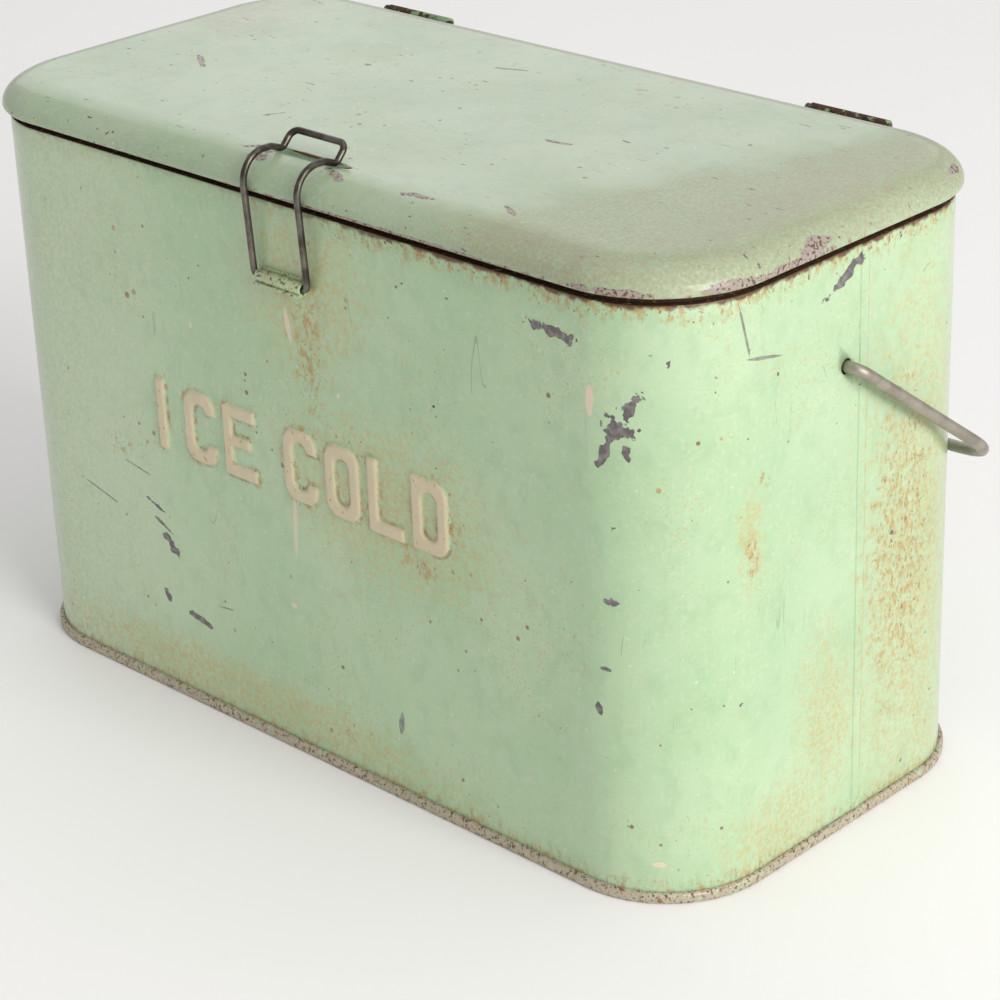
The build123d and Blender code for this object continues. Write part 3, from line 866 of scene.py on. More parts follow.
        # Painted shade: a deeper green in the hollow of the latch groove
        hollow = mix.band(mix.marks(GROOVE_SHADE, 0.3), 1.1, 0.85)
        colour = mix.lay(colour, self.deep, hollow, 0.8)
        worn = mix.band(mix.marks(GROOVE_WEAR, 1.2), 1.0, 0.8)
        crust = mix.two_tone(mix.grain(2, 3), self.rust_dark, self.rust)
        colour = mix.mix(worn, colour, crust)
        scuffs = mix.band(mix.grain(5, 5, (2.2, 0.6, 1)), 0.7, 0.72)
        fine = mix.band(mix.grain(3, 3, (6, 0.3, 1)), 0.735, 0.75)
        edge = mix.share(mix.band(height, *LID_BEND_CHIPS), mix.band(mix.grain(4, 5), 0.69, 0.72))
        chips = mix.math("MAXIMUM", mix.math("MAXIMUM", scuffs, fine), edge)
        hair = mix.share(self.hairlines(mix, 30, (1.8, 0.6, 1)), 0.45)
        chips = mix.math("MAXIMUM", chips, hair)
        marks = mix.band(mix.marks(LID_CHIPS, 2.2), 1.02, 0.9)
        speckle = mix.band(mix.grain(1.6, 4), 0.52, 0.6)
        bare = mix.two_tone(speckle, self.bare, self.bare_rust)
        colour = mix.mix(marks, self.chip(mix, colour, chips), bare)
        chips = mix.math("MAXIMUM", chips, marks)
        lip = mix.band(mix.math("MULTIPLY_ADD", mix.grain(5, 4), 6.0, height), *LID_LIP)
        colour = self.stain(mix, colour, lip, 0.9)
        relief = mix.math("SUBTRACT", relief, chips)
        rough = mix.math("MULTIPLY_ADD", dusty, 0.25, rough)
        return colour, mix.math("MULTIPLY_ADD", chips, 0.25, rough), relief

    def fitting_wear(self, mix: Recipe, colour: Any, rough: Any, relief: Any) -> tuple[Any, Any, Any]:
        """Wear of a small pressed fitting: paint mostly left, with grime and rust in small patches.
        """
        grime = mix.band(mix.grain(1.6, 5), 0.42, 0.62)
        colour = mix.lay(colour, self.ochre, grime, 0.6)
        bare = mix.band(mix.grain(2.2, 5), 0.56, 0.62)
        colour = mix.lay(colour, self.rust, bare, 0.7)
        dark = mix.band(mix.grain(1.1, 4), 0.6, 0.66)
        colour = mix.lay(colour, self.rust_dark, dark)
        rough = mix.math("MULTIPLY_ADD", dark, 0.3, rough)
        return colour, rough, mix.math("SUBTRACT", relief, dark)


# Old brown smudges round the edge of the lid
LID_SMUDGES = (
    Mark((-196, 50, 297), (40, 60, 20)),
    Mark((-110, 98, 297), (90, 16, 20)),
    Mark((90, 102, 297), (150, 12, 20)),
    Mark((205, 10, 295), (26, 110, 20)),
    Mark((150, -106, 292), (70, 12, 12)),
)
# Painted shade in the groove under the latch, and where the wire has rubbed it to rust
GROOVE_SHADE = (Mark((0, -92, 293.2), (29, 4.6, 3.4)),)
GROOVE_WEAR = (
    Mark((-19, -96, 294), (6, 2.4, 3), (0, 0, 30)),
    Mark((18, -96, 294), (4, 4, 3), (0, 0, 30)),
    Mark((2, -89.2, 296.2), (19, 0.6, 1.2)),
    Mark((26, -91, 295), (6, 2.2, 2), (0, 0, 12)),
    Mark((18, -107, 290), (2, 3, 2)),
    Mark((-18, -107, 290), (1.4, 2, 2)),
)
# Where the lid's paint is gone
LID_CHIPS = (
    Mark((231, -25, 288), (5, 10, 4.5), (14, 0, 0)),
    Mark((230, -40, 284.5), (8, 34, 2.0)),
    Mark((229, -78, 285.5), (8, 14, 2.4)),
    Mark((200, -110, 284.8), (26, 8, 1.8)),
    Mark((60, -113, 283.6), (90, 5, 1.0)),
    Mark((222, 84, 291), (4, 10, 1.5)),
    Mark((-154, -22, 297), (11, 1.6, 2), (0, 0, -35)),
    Mark((119, -88, 297), (7, 1.4, 2), (0, 0, -30)),
    Mark((74, -9, 297), (8, 1.6, 2), (0, 0, 8)),
    Mark((74, -98, 295), (10, 1.8, 3), (0, 0, 6)),
    Mark((-20, 60, 297), (9, 1.2, 2), (0, 0, 20)),
    Mark((-60, -60, 297), (6, 1.0, 2), (0, 0, 60)),
    Mark((-22, -103, 296), (7, 3, 3), (0, 0, 20)),
    Mark((27, -101, 296), (6, 2.5, 3), (0, 0, -30)),
    Mark((-31, -96, 297), (6, 1.6, 2), (0, 0, 30)),
)


@dataclass(frozen=True)
class OldZinc:
    """Dull galvanised strip that was once painted: grey, with paint, dirt and rust left on it."""

    def material(self) -> bpy.types.Material:
        """Mix the strip's metal, paint remains, rust and dirt."""
        mix = Recipe("Galvanised strip, dull, with old paint and rust")
        tone = mix.two_tone(mix.grain(3, 5), "#AAA08D", "#CCC2AC")
        paint = mix.band(mix.grain(6, 6), 0.56, 0.62)
        colour = mix.lay(tone, "#A9B595", paint, 0.8)
        rust = mix.band(mix.grain(2.4, 6), 0.54, 0.66)
        scale = mix.two_tone(mix.grain(1.2, 3), "#5F442F", "#8F7050")
        colour = mix.mix(rust, colour, scale)
        dirt = mix.band(mix.grain(1.4, 5), 0.56, 0.66)
        colour = mix.lay(colour, "#4A4038", dirt)
        covered = mix.math("MAXIMUM", mix.math("MAXIMUM", paint, rust), dirt)
        metal = mix.math("MAXIMUM", mix.math("SUBTRACT", 0.5, covered), 0.0)
        rough = mix.math("MULTIPLY_ADD", rust, 0.25, 0.55)
        return mix.metal_or_paint(colour, rough, mix.grain(1.5, 5), 0.35, metal)


@dataclass(frozen=True)
class BareSteel:
    """Drawn mild steel left bare: a dull grey with handling polish and thin brown oxide."""

    name: str
    bright: str
    dull: str
    oxide: float
    roughness: float

    def material(self) -> bpy.types.Material:
        """Mix the steel with its oxide."""
        mix = Recipe(self.name)
        colour = mix.two_tone(mix.band(mix.grain(9, 4), 0.35, 0.65), self.dull, self.bright)
        brown = mix.band(mix.grain(3.4, 5), 0.74 - self.oxide, 0.8 - self.oxide)
        colour = mix.lay(colour, "#5B3D24", brown, 0.75)
        rough = mix.math("MULTIPLY_ADD", mix.grain(2.4, 4), 0.16, self.roughness)
        rough = mix.math("MULTIPLY_ADD", brown, 0.25, rough)
        metal = mix.math("MULTIPLY_ADD", brown, -0.7, 0.92)
        return mix.metal_or_paint(colour, rough, mix.grain(0.9, 3), 0.02, metal)


@dataclass(frozen=True)
class RustedSteel:
    """Thin steel that has rusted all over in a damp joint: matt, dark and crusty."""

    name: str = "Rusted sheet steel, dark"
    green: float = 0.0

    def material(self) -> bpy.types.Material:
        """Mix dark crust, orange bloom and any paint that is left."""
        mix = Recipe(self.name)
        colour = mix.two_tone(mix.grain(5, 5), "#1D140D", "#4E321D")
        bloom = mix.band(mix.grain(2.2, 4), 0.56, 0.68)
        colour = mix.lay(colour, "#7D5328", bloom)
        paint = mix.band(mix.grain(7, 5), 0.66 - self.green, 0.7 - self.green)
        colour = mix.lay(colour, "#7E9A72", paint, 0.9)
        return mix.metal_or_paint(colour, 0.82, mix.grain(1.3, 5), 0.25)


@dataclass(frozen=True)
class SpangledZinc:
    """Hot-dip galvanised sheet: crystals of zinc a few millimetres wide, each at its own grey."""

    crystal: float = 8.0

    def material(self) -> bpy.types.Material:
        """Mix the crystals, water stains and a little rust near the bottom."""
        mix = Recipe("Hot-dip galvanised sheet, spangled")
        shift = mix.grain(9, 3).outputs["Color"]
        warped = add(mix.tree, "VectorMath", {"operation": "ADD"}, {0: mix.place, 1: shift})
        crystals = {"Vector": warped, "Scale": 1 / self.crystal}
        cells = add(mix.tree, "TexVoronoi", None, crystals)
        grey = add(mix.tree, "SeparateColor", None, {0: cells.outputs["Color"]})
        colour = mix.two_tone(grey.outputs["Red"], "#8E9294", "#B4B8B8")
        stain = mix.band(mix.grain(26, 5, (1, 1, 2)), 0.5, 0.7)
        colour = mix.lay(colour, "#8A8474", stain, 0.45)
        axes = add(mix.tree, "SeparateXYZ", None, {0: mix.place})
        low = mix.band(axes.outputs["Z"], 80, 20)
        spots = mix.share(mix.band(mix.grain(4, 5), 0.56, 0.66), low)
        colour = mix.lay(colour, "#8A5C34", spots)
        rough = mix.math("MULTIPLY_ADD", grey.outputs["Green"], 0.16, 0.34)
        rough = mix.math("MULTIPLY_ADD", stain, 0.2, rough)
        metal = mix.math("MULTIPLY_ADD", spots, -0.8, 0.9)
        return mix.metal_or_paint(colour, rough, mix.grain(7, 2), 0.06, metal)


@dataclass(frozen=True)
class SpongeRubber:
    """Moulded nitrile sponge strip: near black, matt, with a fine pebbled skin."""

    def material(self) -> bpy.types.Material:
        """Mix the rubber and its bloom."""
        mix = Recipe("Sponge rubber strip, black")
        colour = mix.two_tone(mix.band(mix.grain(12, 4), 0.45, 0.7), "#1C1B1A", "#34322E")
        return mix.metal_or_paint(colour, 0.78, mix.grain(0.8, 4), 0.12)


@dataclass(frozen=True)
class GlassWool:
    """Glass wool batt: straw-yellow fibres, soft and matt."""

    def material(self) -> bpy.types.Material:
        """Mix the fibres."""
        mix = Recipe("Glass wool batt")
        fibre = mix.grain(1.5, 5, (6, 1, 1))
        colour = mix.two_tone(fibre, "#B99B4E", "#E0CB8A")
        return mix.metal_or_paint(colour, 0.95, fibre, 0.6)


# ---------------------------------------------------------------- sub-assemblies


def dress(piece: bpy.types.Object, material: bpy.types.Material) -> None:
    """Give a piece one material."""
    piece.data.materials.clear()
    piece.data.materials.append(material)


@dataclass
class Workshop:
    """The outline, the finishes and the way a finished piece joins the frame."""

    outline: Outline
    finishes: dict[str, bpy.types.Material] = field(default_factory=dict)

    def __post_init__(self) -> None:
        """Mix every finish once."""
        wire_greys = ("#767168", "#48443D")
        lid_greens = ("#9BB190", "#A3B698", "#78967A", "#AEBAA3")
        self.finishes = {
            "wall": GreenEnamel(PaintWear.WALL).material(),
            "lid": GreenEnamel(PaintWear.LID, *lid_greens).material(),
            "fitting": GreenEnamel(PaintWear.FITTING).material(),
            "hem": OldZinc().material(),
            "wire": BareSteel("Spring steel wire, dark", *wire_greys, 0.03, 0.24).material(),
            "rod": BareSteel("Drawn steel rod, grey", "#B0A99D", "#9C9589", 0.02, 0.42).material(),
            "clip": BareSteel("Spring steel clip", "#8B8578", "#6B655A", 0.1, 0.4).material(),
            "crust": RustedSteel().material(),
            "hinge": RustedSteel("Rusted steel hinge with paint left on it", 0.16).material(),
            "zinc": SpangledZinc().material(),
            "rubber": SpongeRubber().material(),
            "wool": GlassWool().material(),
        }

    def fit(self, piece: bpy.types.Object, body: str, slot: str, finish: str, *nodes: str) -> None:
        """Dress a piece, put it on its body and let it stand for its frame nodes.

        Args:
            piece: the piece.
            body: the frame body that it rides on.
            slot: the record's material slot; not used.
            finish: the finish's key.
            nodes: frame nodes that it replaces.
        """
        dress(piece, self.finishes[finish])
        if nodes:
            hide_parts(*nodes)
        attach(piece, body)
        LOG.info("fitted %s to %s", piece.name, body)


@dataclass
class Case:
    """The outer wall, bottom pan, collar, tub and insulation."""

    shop: Workshop
    lettering: Lettering = Lettering()
    foot: float = 1.6 * MM
    hem_out: float = 2.5 * MM
    hem_in: float = -3.2 * MM
    hem_height: float = 5.5 * MM
    seam_y: float = 11.5 * MM
    seam_half: float = 2.5 * MM
    seam_raised: float = 0.5 * MM
    hole_radius: float = 3.6 * MM
    seam_fold: float = 0.4 * MM
    wave: float = 0.22 * MM
    waves_per_metre: float = 11
    wave_fade: float = 40 * MM
    fine: float = 0.8 * MM
    letter_margin: float = 4 * MM
    collar_wall: float = -4 * MM
    tub_wall: float = -22 * MM

    def build(self) -> None:
        """Make and fit every piece of the case."""
        shop = self.shop
        shop.fit(self.wall(), "case", "green_enamel", "wall", "body_shell")
        shop.fit(self.bottom_pan(), "case", "zinc_sheet", "hem", "base_pan")
        shop.fit(self.collar(), "case", "rusted_steel", "crust", "rim_collar")
        shop.fit(self.tub(), "case", "galvanised_liner", "zinc", "liner")
        for name in ("wall_insulation", "floor_insulation"):
            dress(frame["nodes"][name], shop.finishes["wool"])
        for side in ("left", "right"):
            dress(frame["nodes"][f"handle_socket_{side}"], shop.finishes["crust"])

    def wall(self) -> bpy.types.Object:
        """The wrap-around sheet with its lettering, lock seam and handle holes."""
        outline, words = self.shop.outline, self.lettering
        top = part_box("body_shell")[1].z
        low = words.centre[1] - words.height / 2 - self.letter_margin
        high = words.centre[1] + words.height / 2 + self.letter_margin
        rows = ladder(self.foot, low, EVEN_COLUMN)[:-1] + ladder(low, high, self.fine)
        rows += ladder(high, top - SHEET / 2, EVEN_COLUMN)[1:]
        profile = [(0.0, z) for z in rows]
        profile += quarter((-SHEET / 2, top - SHEET / 2), (SHEET / 2, SHEET / 2), 30, 180, 5)
        profile += [(-SHEET, z) for z in (200 * MM, 100 * MM, self.foot)]
        reach = words.span() / 2 + self.letter_margin
        left, right = words.centre[0] - reach, words.centre[0] + reach
        steps = fine_steps(outline.straight(0), left, right, self.fine)
        bm = carry_round(outline, profile, False, steps)
        self.weather(bm)
        words.press(bm, -outline.half_y)
        self.raise_seam(bm)
        piece = finish_mesh("wall", bm, 50)
        self.drill(piece)
        return piece

    def weather(self, bm: bmesh.types.BMesh) -> None:
        """Give the flat panels the slight waves of old thin sheet, fading at rim and foot."""
        outline, wave = self.shop.outline, self.waves_per_metre
        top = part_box("body_shell")[1].z
        panel = 2 * MM
        for vert in bm.verts:
            x, y, z = vert.co
            fade = smooth_step(0, self.wave_fade, z) * smooth_step(0, self.wave_fade, top - z)
            swell = noise.noise(Vector((x * wave, y * wave, z * wave + 4))) * self.wave * fade
            if abs(y) > outline.half_y - panel:
                vert.co.y -= swell * (1 if y > 0 else -1)
            elif abs(x) > outline.half_x - panel:
                vert.co.x -= swell * (1 if x > 0 else -1)

    def raise_seam(self, bm: bmesh.types.BMesh) -> None:
        """Raise the folded lock seam down the right end."""
        outline = self.shop.outline
        low, high = self.seam_y - self.seam_half, self.seam_y + self.seam_half
        panel = outline.half_x - 3 * MM
        for place in (low - self.seam_fold, low, high, high + self.seam_fold):
            end = [f for f in bm.faces if f.calc_center_median().x > panel]
            edges = {e for f in end for e in f.edges}
            verts = {v for f in end for v in f.verts}
            bmesh.ops.bisect_plane(
                bm,
                geom=[*verts, *edges, *end],
                dist=0.0001 * MM,
                plane_co=(0, place, 0),
                plane_no=(0, 1, 0),
            )
        for vert in bm.verts:
            outer = vert.co.x > outline.half_x - SHEET / 2
            if outer and low - WELD < vert.co.y < high + WELD:
                vert.co.x += self.seam_raised

    def drill(self, piece: bpy.types.Object) -> None:
        """Cut the two handle holes through the end panels."""
        bm = bmesh.new()
        z = self.handle_height()
        for side in (-1, 1):
            place = Matrix.Translation((side * self.shop.outline.half_x, 0, z))
            turn = Matrix.Rotation(pi / 2, 4, "Y")
            bmesh.ops.create_cone(
                bm,
                cap_ends=True,
                segments=40,
                radius1=self.hole_radius,
                radius2=self.hole_radius,
                depth=8 * MM,
                matrix=place @ turn,
            )
        cutter = finish_mesh("handle_hole_drill", bm)
        cut = piece.modifiers.new("handle_holes", "BOOLEAN")
        cut.operation = "DIFFERENCE"
        cut.object = cutter
        cut.solver = "EXACT"
        bpy.context.view_layer.update()
        evaluated = piece.evaluated_get(bpy.context.evaluated_depsgraph_get())
        drilled = bpy.data.meshes.new_from_object(evaluated)
        piece.modifiers.clear()
        piece.data = drilled
        bpy.data.objects.remove(cutter)

    @staticmethod
    def handle_height() -> float:
        """Height of the handle's pivot, from the frame's joint."""
        joint = next(j for j in frame["joints"] if j["name"] == "bail_swing")
        return joint["pos_m"][2]

    def bottom_pan(self) -> bpy.types.Object:
        """The bottom pan, whose rim is rolled up round the foot of the wall."""
        out, inner, top = self.hem_out, self.hem_in, self.hem_height
        bead = 1.8 * MM
        floor = 3.0 * MM
        slot = 0.05 * MM
        middle = -48 * MM
        profile = [(middle, floor), (inner, floor), (inner, bead / 2)]
        profile += quarter((inner + bead / 2, bead / 2), (bead / 2, bead / 2), 200, 270, 3)
        profile += quarter((out - bead, bead), (bead, bead), 270, 360, 6)
        profile += quarter((out - bead, top - bead), (bead, bead), 0, 90, 6)
        profile += [(slot, top - 0.3 * MM), (slot, self.foot - slot)]
        profile += [(-SHEET - slot, self.foot - slot), (-SHEET - slot, top - 0.2 * MM)]
        profile += [(-SHEET - 0.4 * MM, top), (inner, top), (inner, floor + SHEET)]
        profile += [(middle, floor + SHEET)]
        bm = carry_round(self.shop.outline, profile, True)
        for vert in bm.verts:
            x, y, z = vert.co
            if z > 0.4 * MM and z < top - 0.2 * MM:
                continue
            dent = noise.noise(Vector((x * 70, y * 70, z * 40)))
            vert.co.z += min(dent, 0) * 0.35 * MM * (1 if z > top / 2 else 0)
        return finish_mesh("bottom_pan", bm)

    def collar(self) -> bpy.types.Object:
        """The dark collar that closes the double wall and stands up inside the lid."""
        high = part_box("rim_collar")[1].z
        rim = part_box("body_shell")[1].z
        flange = rim - SHEET
        wall, inner = self.collar_wall, self.tub_wall
        shoulder = high - 0.3 * MM
        profile = [(-SHEET, flange), (-SHEET, rim), (wall, rim), (wall, shoulder)]
        profile += [(wall - 0.25 * MM, high), (wall - 0.55 * MM, high)]
        profile += [(wall - SHEET, shoulder), (wall - SHEET, rim), (inner, rim), (inner, flange)]
        return finish_mesh("collar", carry_round(self.shop.outline, profile, False), 30)

    def tub(self) -> bpy.types.Object:
        """The galvanised tub, with rounded floor corners and a lip over the collar."""
        low, high = (corner.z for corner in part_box("liner"))
        sheet = TUB_SHEET
        half = sheet / 2
        wall = self.tub_wall
        lip = wall + 4.0 * MM
        floor = low + sheet
        bend = 6.0 * MM
        inner = wall - sheet
        middle = -50 * MM
        profile = [(middle, low)]
        profile += quarter((inner - bend, floor + bend), (bend + sheet, bend + sheet), 270, 360, 8)
        profile += [(wall, 150 * MM), (wall, high - sheet), (lip, high - sheet)]
        profile += quarter((lip - half, high - half), (half, half), 0, 90, 4)
        profile += quarter((inner + half, high - half), (-half, half), 90, 0, 4)
        profile += [(inner, 200 * MM), (inner, 100 * MM)]
        profile += quarter((inner - bend, floor + bend), (bend, bend), 360, 270, 8)
        profile += [(middle, floor)]
        return finish_mesh("tub", carry_round(self.shop.outline, profile, True), 40)


# The groove's plan on its bed, in millimetres, and how much wider its mouth is: half of its
# straight length, half of its whole length, and its front and rear edges in from the wall
GROOVE_BED = (15.5, 20, 17.9, 20.7)
GROOVE_FLARE = (6.5, 11, -4.6, 1.1)
HALVINGS = 14


@dataclass
class Lid:
    """The pressed lid, the pan under it, its insulation and its gasket.

    The groove's half length and its band in from the front wall bound the search for the
    points that it presses. The lid's section turns finely to its turn angle and has fine rows
    from there to their end, past the groove.
    """

    shop: Workshop
    lip_out: float = 0.6 * MM
    bulge: float = 3.4 * MM
    bulge_rise: float = 1.5 * MM
    rounding: float = 22.3 * MM
    hem_inner: float = -1.0 * MM
    hem_height: float = 3.0 * MM
    groove_depth: float = 2.5 * MM
    groove_mouth: float = 3.5 * MM
    groove_middle: float = 19.0 * MM
    groove_half: float = 31 * MM
    groove_band: Point = (13 * MM, 22 * MM)
    turn_angle: float = 58
    rows_end: float = -24 * MM
    fine: float = 0.8 * MM
    dent: float = 0.3 * MM
    dents_per_metre: float = 22
    dent_foot: float = 282.5 * MM

    def build(self) -> None:
        """Make and fit every piece of the lid."""
        shop = self.shop
        shop.fit(self.skin(), "lid", "green_enamel", "lid", "lid_skin")
        shop.fit(self.under_pan(), "lid", "galvanised_liner", "zinc", "lid_liner")
        shop.fit(self.gasket(), "lid", "black_rubber", "rubber", "lid_seal")
        dress(frame["nodes"]["lid_insulation"], shop.finishes["wool"])

    def skin(self) -> bpy.types.Object:
        """The lid's pressed outer pan, with its folded hem and the latch groove."""
        low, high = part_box("lid_skin")
        lip, top = low.z, high.z
        outer = self.section(lip, top, 0.0)
        inner = self.section(lip, top, SHEET)
        join = [(self.hem_inner, lip + 0.5 * MM), (self.hem_inner + 0.4 * MM, lip + 0.1 * MM)]
        profile = inner[::-1] + join + outer
        reach = self.groove_half + 1 * MM
        steps = fine_steps(self.shop.outline.straight(0), -reach, reach, self.fine)
        bm = carry_round(self.shop.outline, profile, True, steps)
        self.weather(bm)
        self.press_groove(bm, top)
        return finish_mesh("lid_pan", bm, 40)

    def section(self, lip: float, top: float, inset: float) -> list[Point]:
        """Half of the lid's section, from its lower edge to the flat top.

        Args:
            lip: height of the lid's lower edge.
            top: height of its top.
            inset: 0 for the outside, the sheet's thickness for the inside.

        Returns:
            (outset, height) points from the edge inwards.
        """
        centre = (self.bulge - self.rounding, lip + self.bulge_rise)
        reach = (self.rounding - inset, top - centre[1] - inset)
        if inset:
            hem_top = lip + self.hem_height
            start = asin((hem_top - centre[1]) / reach[1])
            points = [(self.hem_inner, hem_top)]
        else:
            start = 0.0
            flare = (self.bulge - self.lip_out, self.bulge_rise)
            points = quarter((self.lip_out, centre[1]), flare, 270, 360, 6)[:-1]
        turn = centre[0] + reach[0] * cos(radians(self.turn_angle))
        points += quarter(centre, reach, degrees(start), self.turn_angle, 12)
        for out in self.rows(turn):
            across = max(out - centre[0], 0.0) / reach[0]
            points.append((out, centre[1] + reach[1] * sqrt(max(1 - across * across, 0))))
        return points + [(out * MM, top - inset) for out in (-28, -33, -38, -43, -48)]

    def rows(self, start: float) -> list[float]:
        """Fine rows from a place on the rounding inwards past the groove."""
        count = round((start - self.rows_end) / self.fine)
        return [start - (i + 1) * self.fine for i in range(count)]

    def weather(self, bm: bmesh.types.BMesh) -> None:
        """Small dents along the lid's rounded edge, kept clear of the hinges."""
        outline, scale = self.shop.outline, self.dents_per_metre
        for vert in bm.verts:
            x, y, z = vert.co
            inward = min(outline.half_x - abs(x), outline.half_y - abs(y))
            fade = smooth_step(46 * MM, 30 * MM, inward)
            fade *= smooth_step(2 * MM, 6 * MM, z - self.dent_foot)
            fade *= 1 - smooth_step(40 * MM, 90 * MM, y)
            hollow = min(noise.noise(Vector((x * scale, y * scale, 2.5))), 0.1)
            vert.co.z += hollow * self.dent * fade

    def press_groove(self, bm: bmesh.types.BMesh, top: float) -> None:
        """Press the boat-shaped groove that the latch wire drops into, then soften its edges."""
        front = -self.shop.outline.half_y
        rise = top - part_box("lid_skin")[0].z - self.bulge_rise
        pressed = []
        for vert in bm.verts:
            x, y, z = vert.co
            inside = y - front
            within = self.groove_band[0] < inside < self.groove_band[1]
            if abs(x) > self.groove_half or not within or z < top - 8 * MM:
                continue
            sheet = SHEET if z < self.outer_height(inside, rise, top) - SHEET / 2 else 0
            level = top - self.groove_depth + self.groove_level(abs(x), inside) - sheet
            if level < z:
                vert.co.z = level
                pressed.append(vert)
        bmesh.ops.smooth_vert(
            bm,
            verts=pressed,
            factor=0.35,
            use_axis_x=False,
            use_axis_y=False,
            use_axis_z=True,
        )

    def groove_level(self, x: float, inside: float) -> float:
        """Height of the groove's sloping side above its bed.

        Args:
            x: distance from the middle of the groove.
            inside: distance in from the front wall.

        Returns:
            Metres, from zero on the bed to the mouth's height.
        """
        low, high = 0.0, 1.0
        for _ in range(HALVINGS):
            share = (low + high) / 2
            plan = zip(GROOVE_BED, GROOVE_FLARE)
            flat, point, near, far = ((bed + flare * share) * MM for bed, flare in plan)
            along = min(max((x - flat) / (point - flat), 0), 1)
            near += (self.groove_middle - near) * along
            far += (self.groove_middle - far) * along
            within = x < point and near < inside < far
            low, high = (low, share) if within else (share, high)
        return high * self.groove_mouth

    def outer_height(self, inside: float, rise: float, top: float) -> float:
        """Height of the lid's outer face a distance in from the front wall."""
        across = max(self.rounding - self.bulge - inside, 0) / self.rounding
        return top - rise + rise * sqrt(max(1 - across * across, 0))

    def under_pan(self) -> bpy.types.Object:
        """The pan on the underside, whose middle drops into the mouth of the tub."""
        low, high = (corner.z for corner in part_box("lid_liner"))
        sheet = TUB_SHEET
        rim = high - sheet
        edge = 2.0 * MM
        plug = -26.0 * MM
        bend = 3.0 * MM
        middle = -50 * MM
        profile = [(middle, low)]
        profile += quarter((plug - bend, low + bend), (bend, bend), 270, 360, 6)
        profile += [(plug, rim), (edge, rim), (edge, high), (plug - sheet, high)]
        profile += quarter((plug - bend, low + bend), (bend - sheet, bend - sheet), 360, 270, 6)
        profile += [(middle, low + sheet)]
        return finish_mesh("lid_under_pan", carry_round(self.shop.outline, profile, True), 40)

    def gasket(self) -> bpy.types.Object:
        """The sponge strip, crowned where it meets the collar."""
        low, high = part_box("lid_seal")
        outer, inner = -7.0 * MM, -15.0 * MM
        crown = 2.6 * MM
        middle = (outer + inner) / 2
        profile = [(outer, high.z), (inner, high.z)]
        profile += quarter((middle, low.z + crown), ((outer - inner) / 2, crown), 180, 360, 12)
        return finish_mesh("gasket", carry_round(self.shop.outline, profile, False), 50)


@dataclass
class Fittings:
    """The latch, hinges and carrying bail, smoothed from their frame nodes."""

    shop: Workshop
    soften: float = 0.12 * MM

    def build(self) -> None:
        """Make and fit the metal fittings."""
        shop = self.shop
        shop.fit(refined("latch_wire"), "latch", "dark_steel_wire", "wire")
        shop.fit(refined("latch_bracket", self.soften), "case", "green_enamel", "fitting")
        shop.fit(refined("handle_bail"), "bail", "grey_steel_rod", "rod")
        shop.fit(refined("handle_clips", self.soften), "bail", "spring_steel", "clip")
        shop.fit(refined("hinge_rivets"), "case", "hinge_steel", "hinge")
        for side in ("left", "right"):
            leaf = refined(f"hinge_body_leaf_{side}", self.soften)
            shop.fit(leaf, "case", "hinge_steel", "hinge")
            strap = refined(f"hinge_lid_leaf_{side}", self.soften)
            shop.fit(strap, "lid", "hinge_steel", "hinge")
            pin = refined(f"hinge_pin_{side}", self.soften)
            shop.fit(pin, "case", "dark_steel_wire", "wire")


# ---------------------------------------------------------------- floor, light and camera


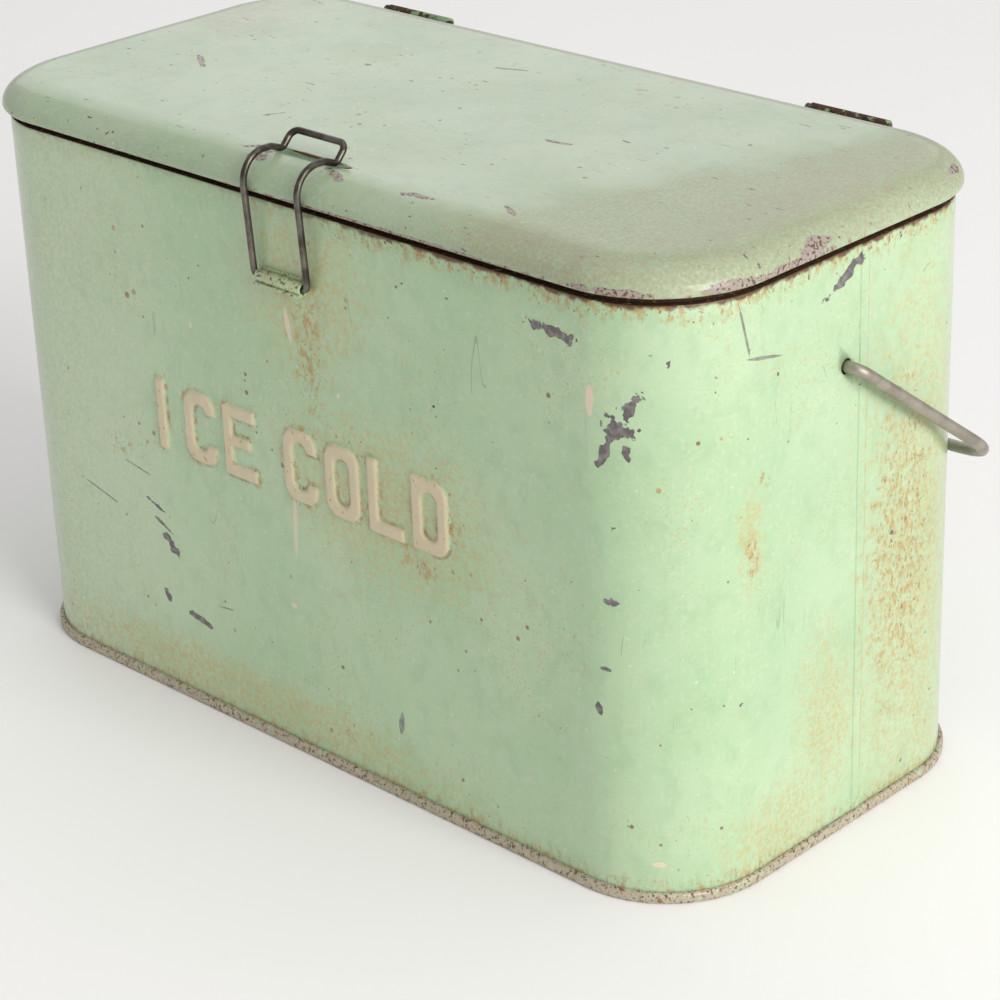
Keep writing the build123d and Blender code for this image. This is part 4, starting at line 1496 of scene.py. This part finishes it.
@dataclass
class Studio:
    """A pale floor, soft light from the right and one long lens.

    Eye is the camera's place, right and ahead its axes, and the surround an even light.
    """

    floor_size: float = 14.0
    eye: Triple = (0.9243, -0.9116, 0.6996)
    right: Triple = (0.72036, 0.69277, -0.03396)
    ahead: Triple = (-0.63873, 0.64349, -0.42185)
    aim: Triple = (0.0, 0.0, 0.15)
    lens: float = 104.93
    film: float = 36
    far: float = 50
    surround: float = 0.54

    def build(self) -> None:
        """Set the floor, the lights and the camera."""
        self.floor()
        self.light()
        self.camera()

    def floor(self) -> None:
        """A wide matt floor that fills the view."""
        bm = bmesh.new()
        bmesh.ops.create_grid(bm, x_segments=1, y_segments=1, size=self.floor_size / 2)
        floor = finish_mesh("studio_floor", bm)
        mix = Recipe("Matt paper floor")
        colour = mix.two_tone(mix.grain(300, 2), "#F8F7F7", "#F5F4F4")
        dress(floor, mix.metal_or_paint(colour, 0.9))

    def softbox(self, name: str, place: Triple, size: Point, power: float, tint: str) -> None:
        """Hang one soft light that faces the chest.

        Args:
            name: the light's name.
            place: where it hangs.
            size: width and height.
            power: watts.
            tint: its colour.
        """
        data = bpy.data.lights.new(name, "AREA")
        data.shape = "RECTANGLE"
        data.size, data.size_y = size
        data.energy = power
        data.color = linear(tint)[:3]
        light = bpy.data.objects.new(name, data)
        light.location = place
        facing = Vector(place) - Vector(self.aim)
        light.rotation_euler = facing.to_track_quat("Z", "Y").to_euler()
        bpy.context.scene.collection.objects.link(light)

    def light(self) -> None:
        """A big soft key on the right, weak back and top lights and an even pale surround."""
        self.softbox("key", (3.8, -0.5, 1.8), (2.4, 2.4), 150, "#FFFDFA")
        self.softbox("back", (-2.4, 2.3, 1.7), (3.2, 2.0), 16, "#FEFEFF")
        self.softbox("top", (0.3, 0.4, 2.6), (2.4, 2.0), 10, "#FFFFFF")
        world = bpy.data.worlds.new("Studio surround")
        world.use_nodes = True
        shade = world.node_tree.nodes["Background"]
        shade.inputs["Color"].default_value = linear("#FAF8F8")
        shade.inputs["Strength"].default_value = self.surround
        bpy.context.scene.world = world
        bpy.context.scene.view_settings.view_transform = "Standard"
        bpy.context.scene.view_settings.look = "None"

    def camera(self) -> None:
        """Place the camera that looks down on the front and the right end."""
        data = bpy.data.cameras.new("camera")
        data.lens = self.lens
        data.sensor_width = self.film
        data.clip_end = self.far
        camera = bpy.data.objects.new("camera", data)
        across, ahead = Vector(self.right).normalized(), Vector(self.ahead).normalized()
        up = across.cross(ahead)
        turn = Matrix((across, up, -ahead)).transposed().to_4x4()
        camera.matrix_world = Matrix.Translation(self.eye) @ turn
        bpy.context.scene.collection.objects.link(camera)
        bpy.context.scene.camera = camera


def main() -> None:
    """Build the chest and its studio."""
    logging.basicConfig(level=logging.INFO, format="%(message)s")
    Studio().build()
    shop = Workshop(Outline.of_case())
    Case(shop).build()
    Lid(shop).build()
    Fittings(shop).build()


if __name__ == "__main__":
    main()
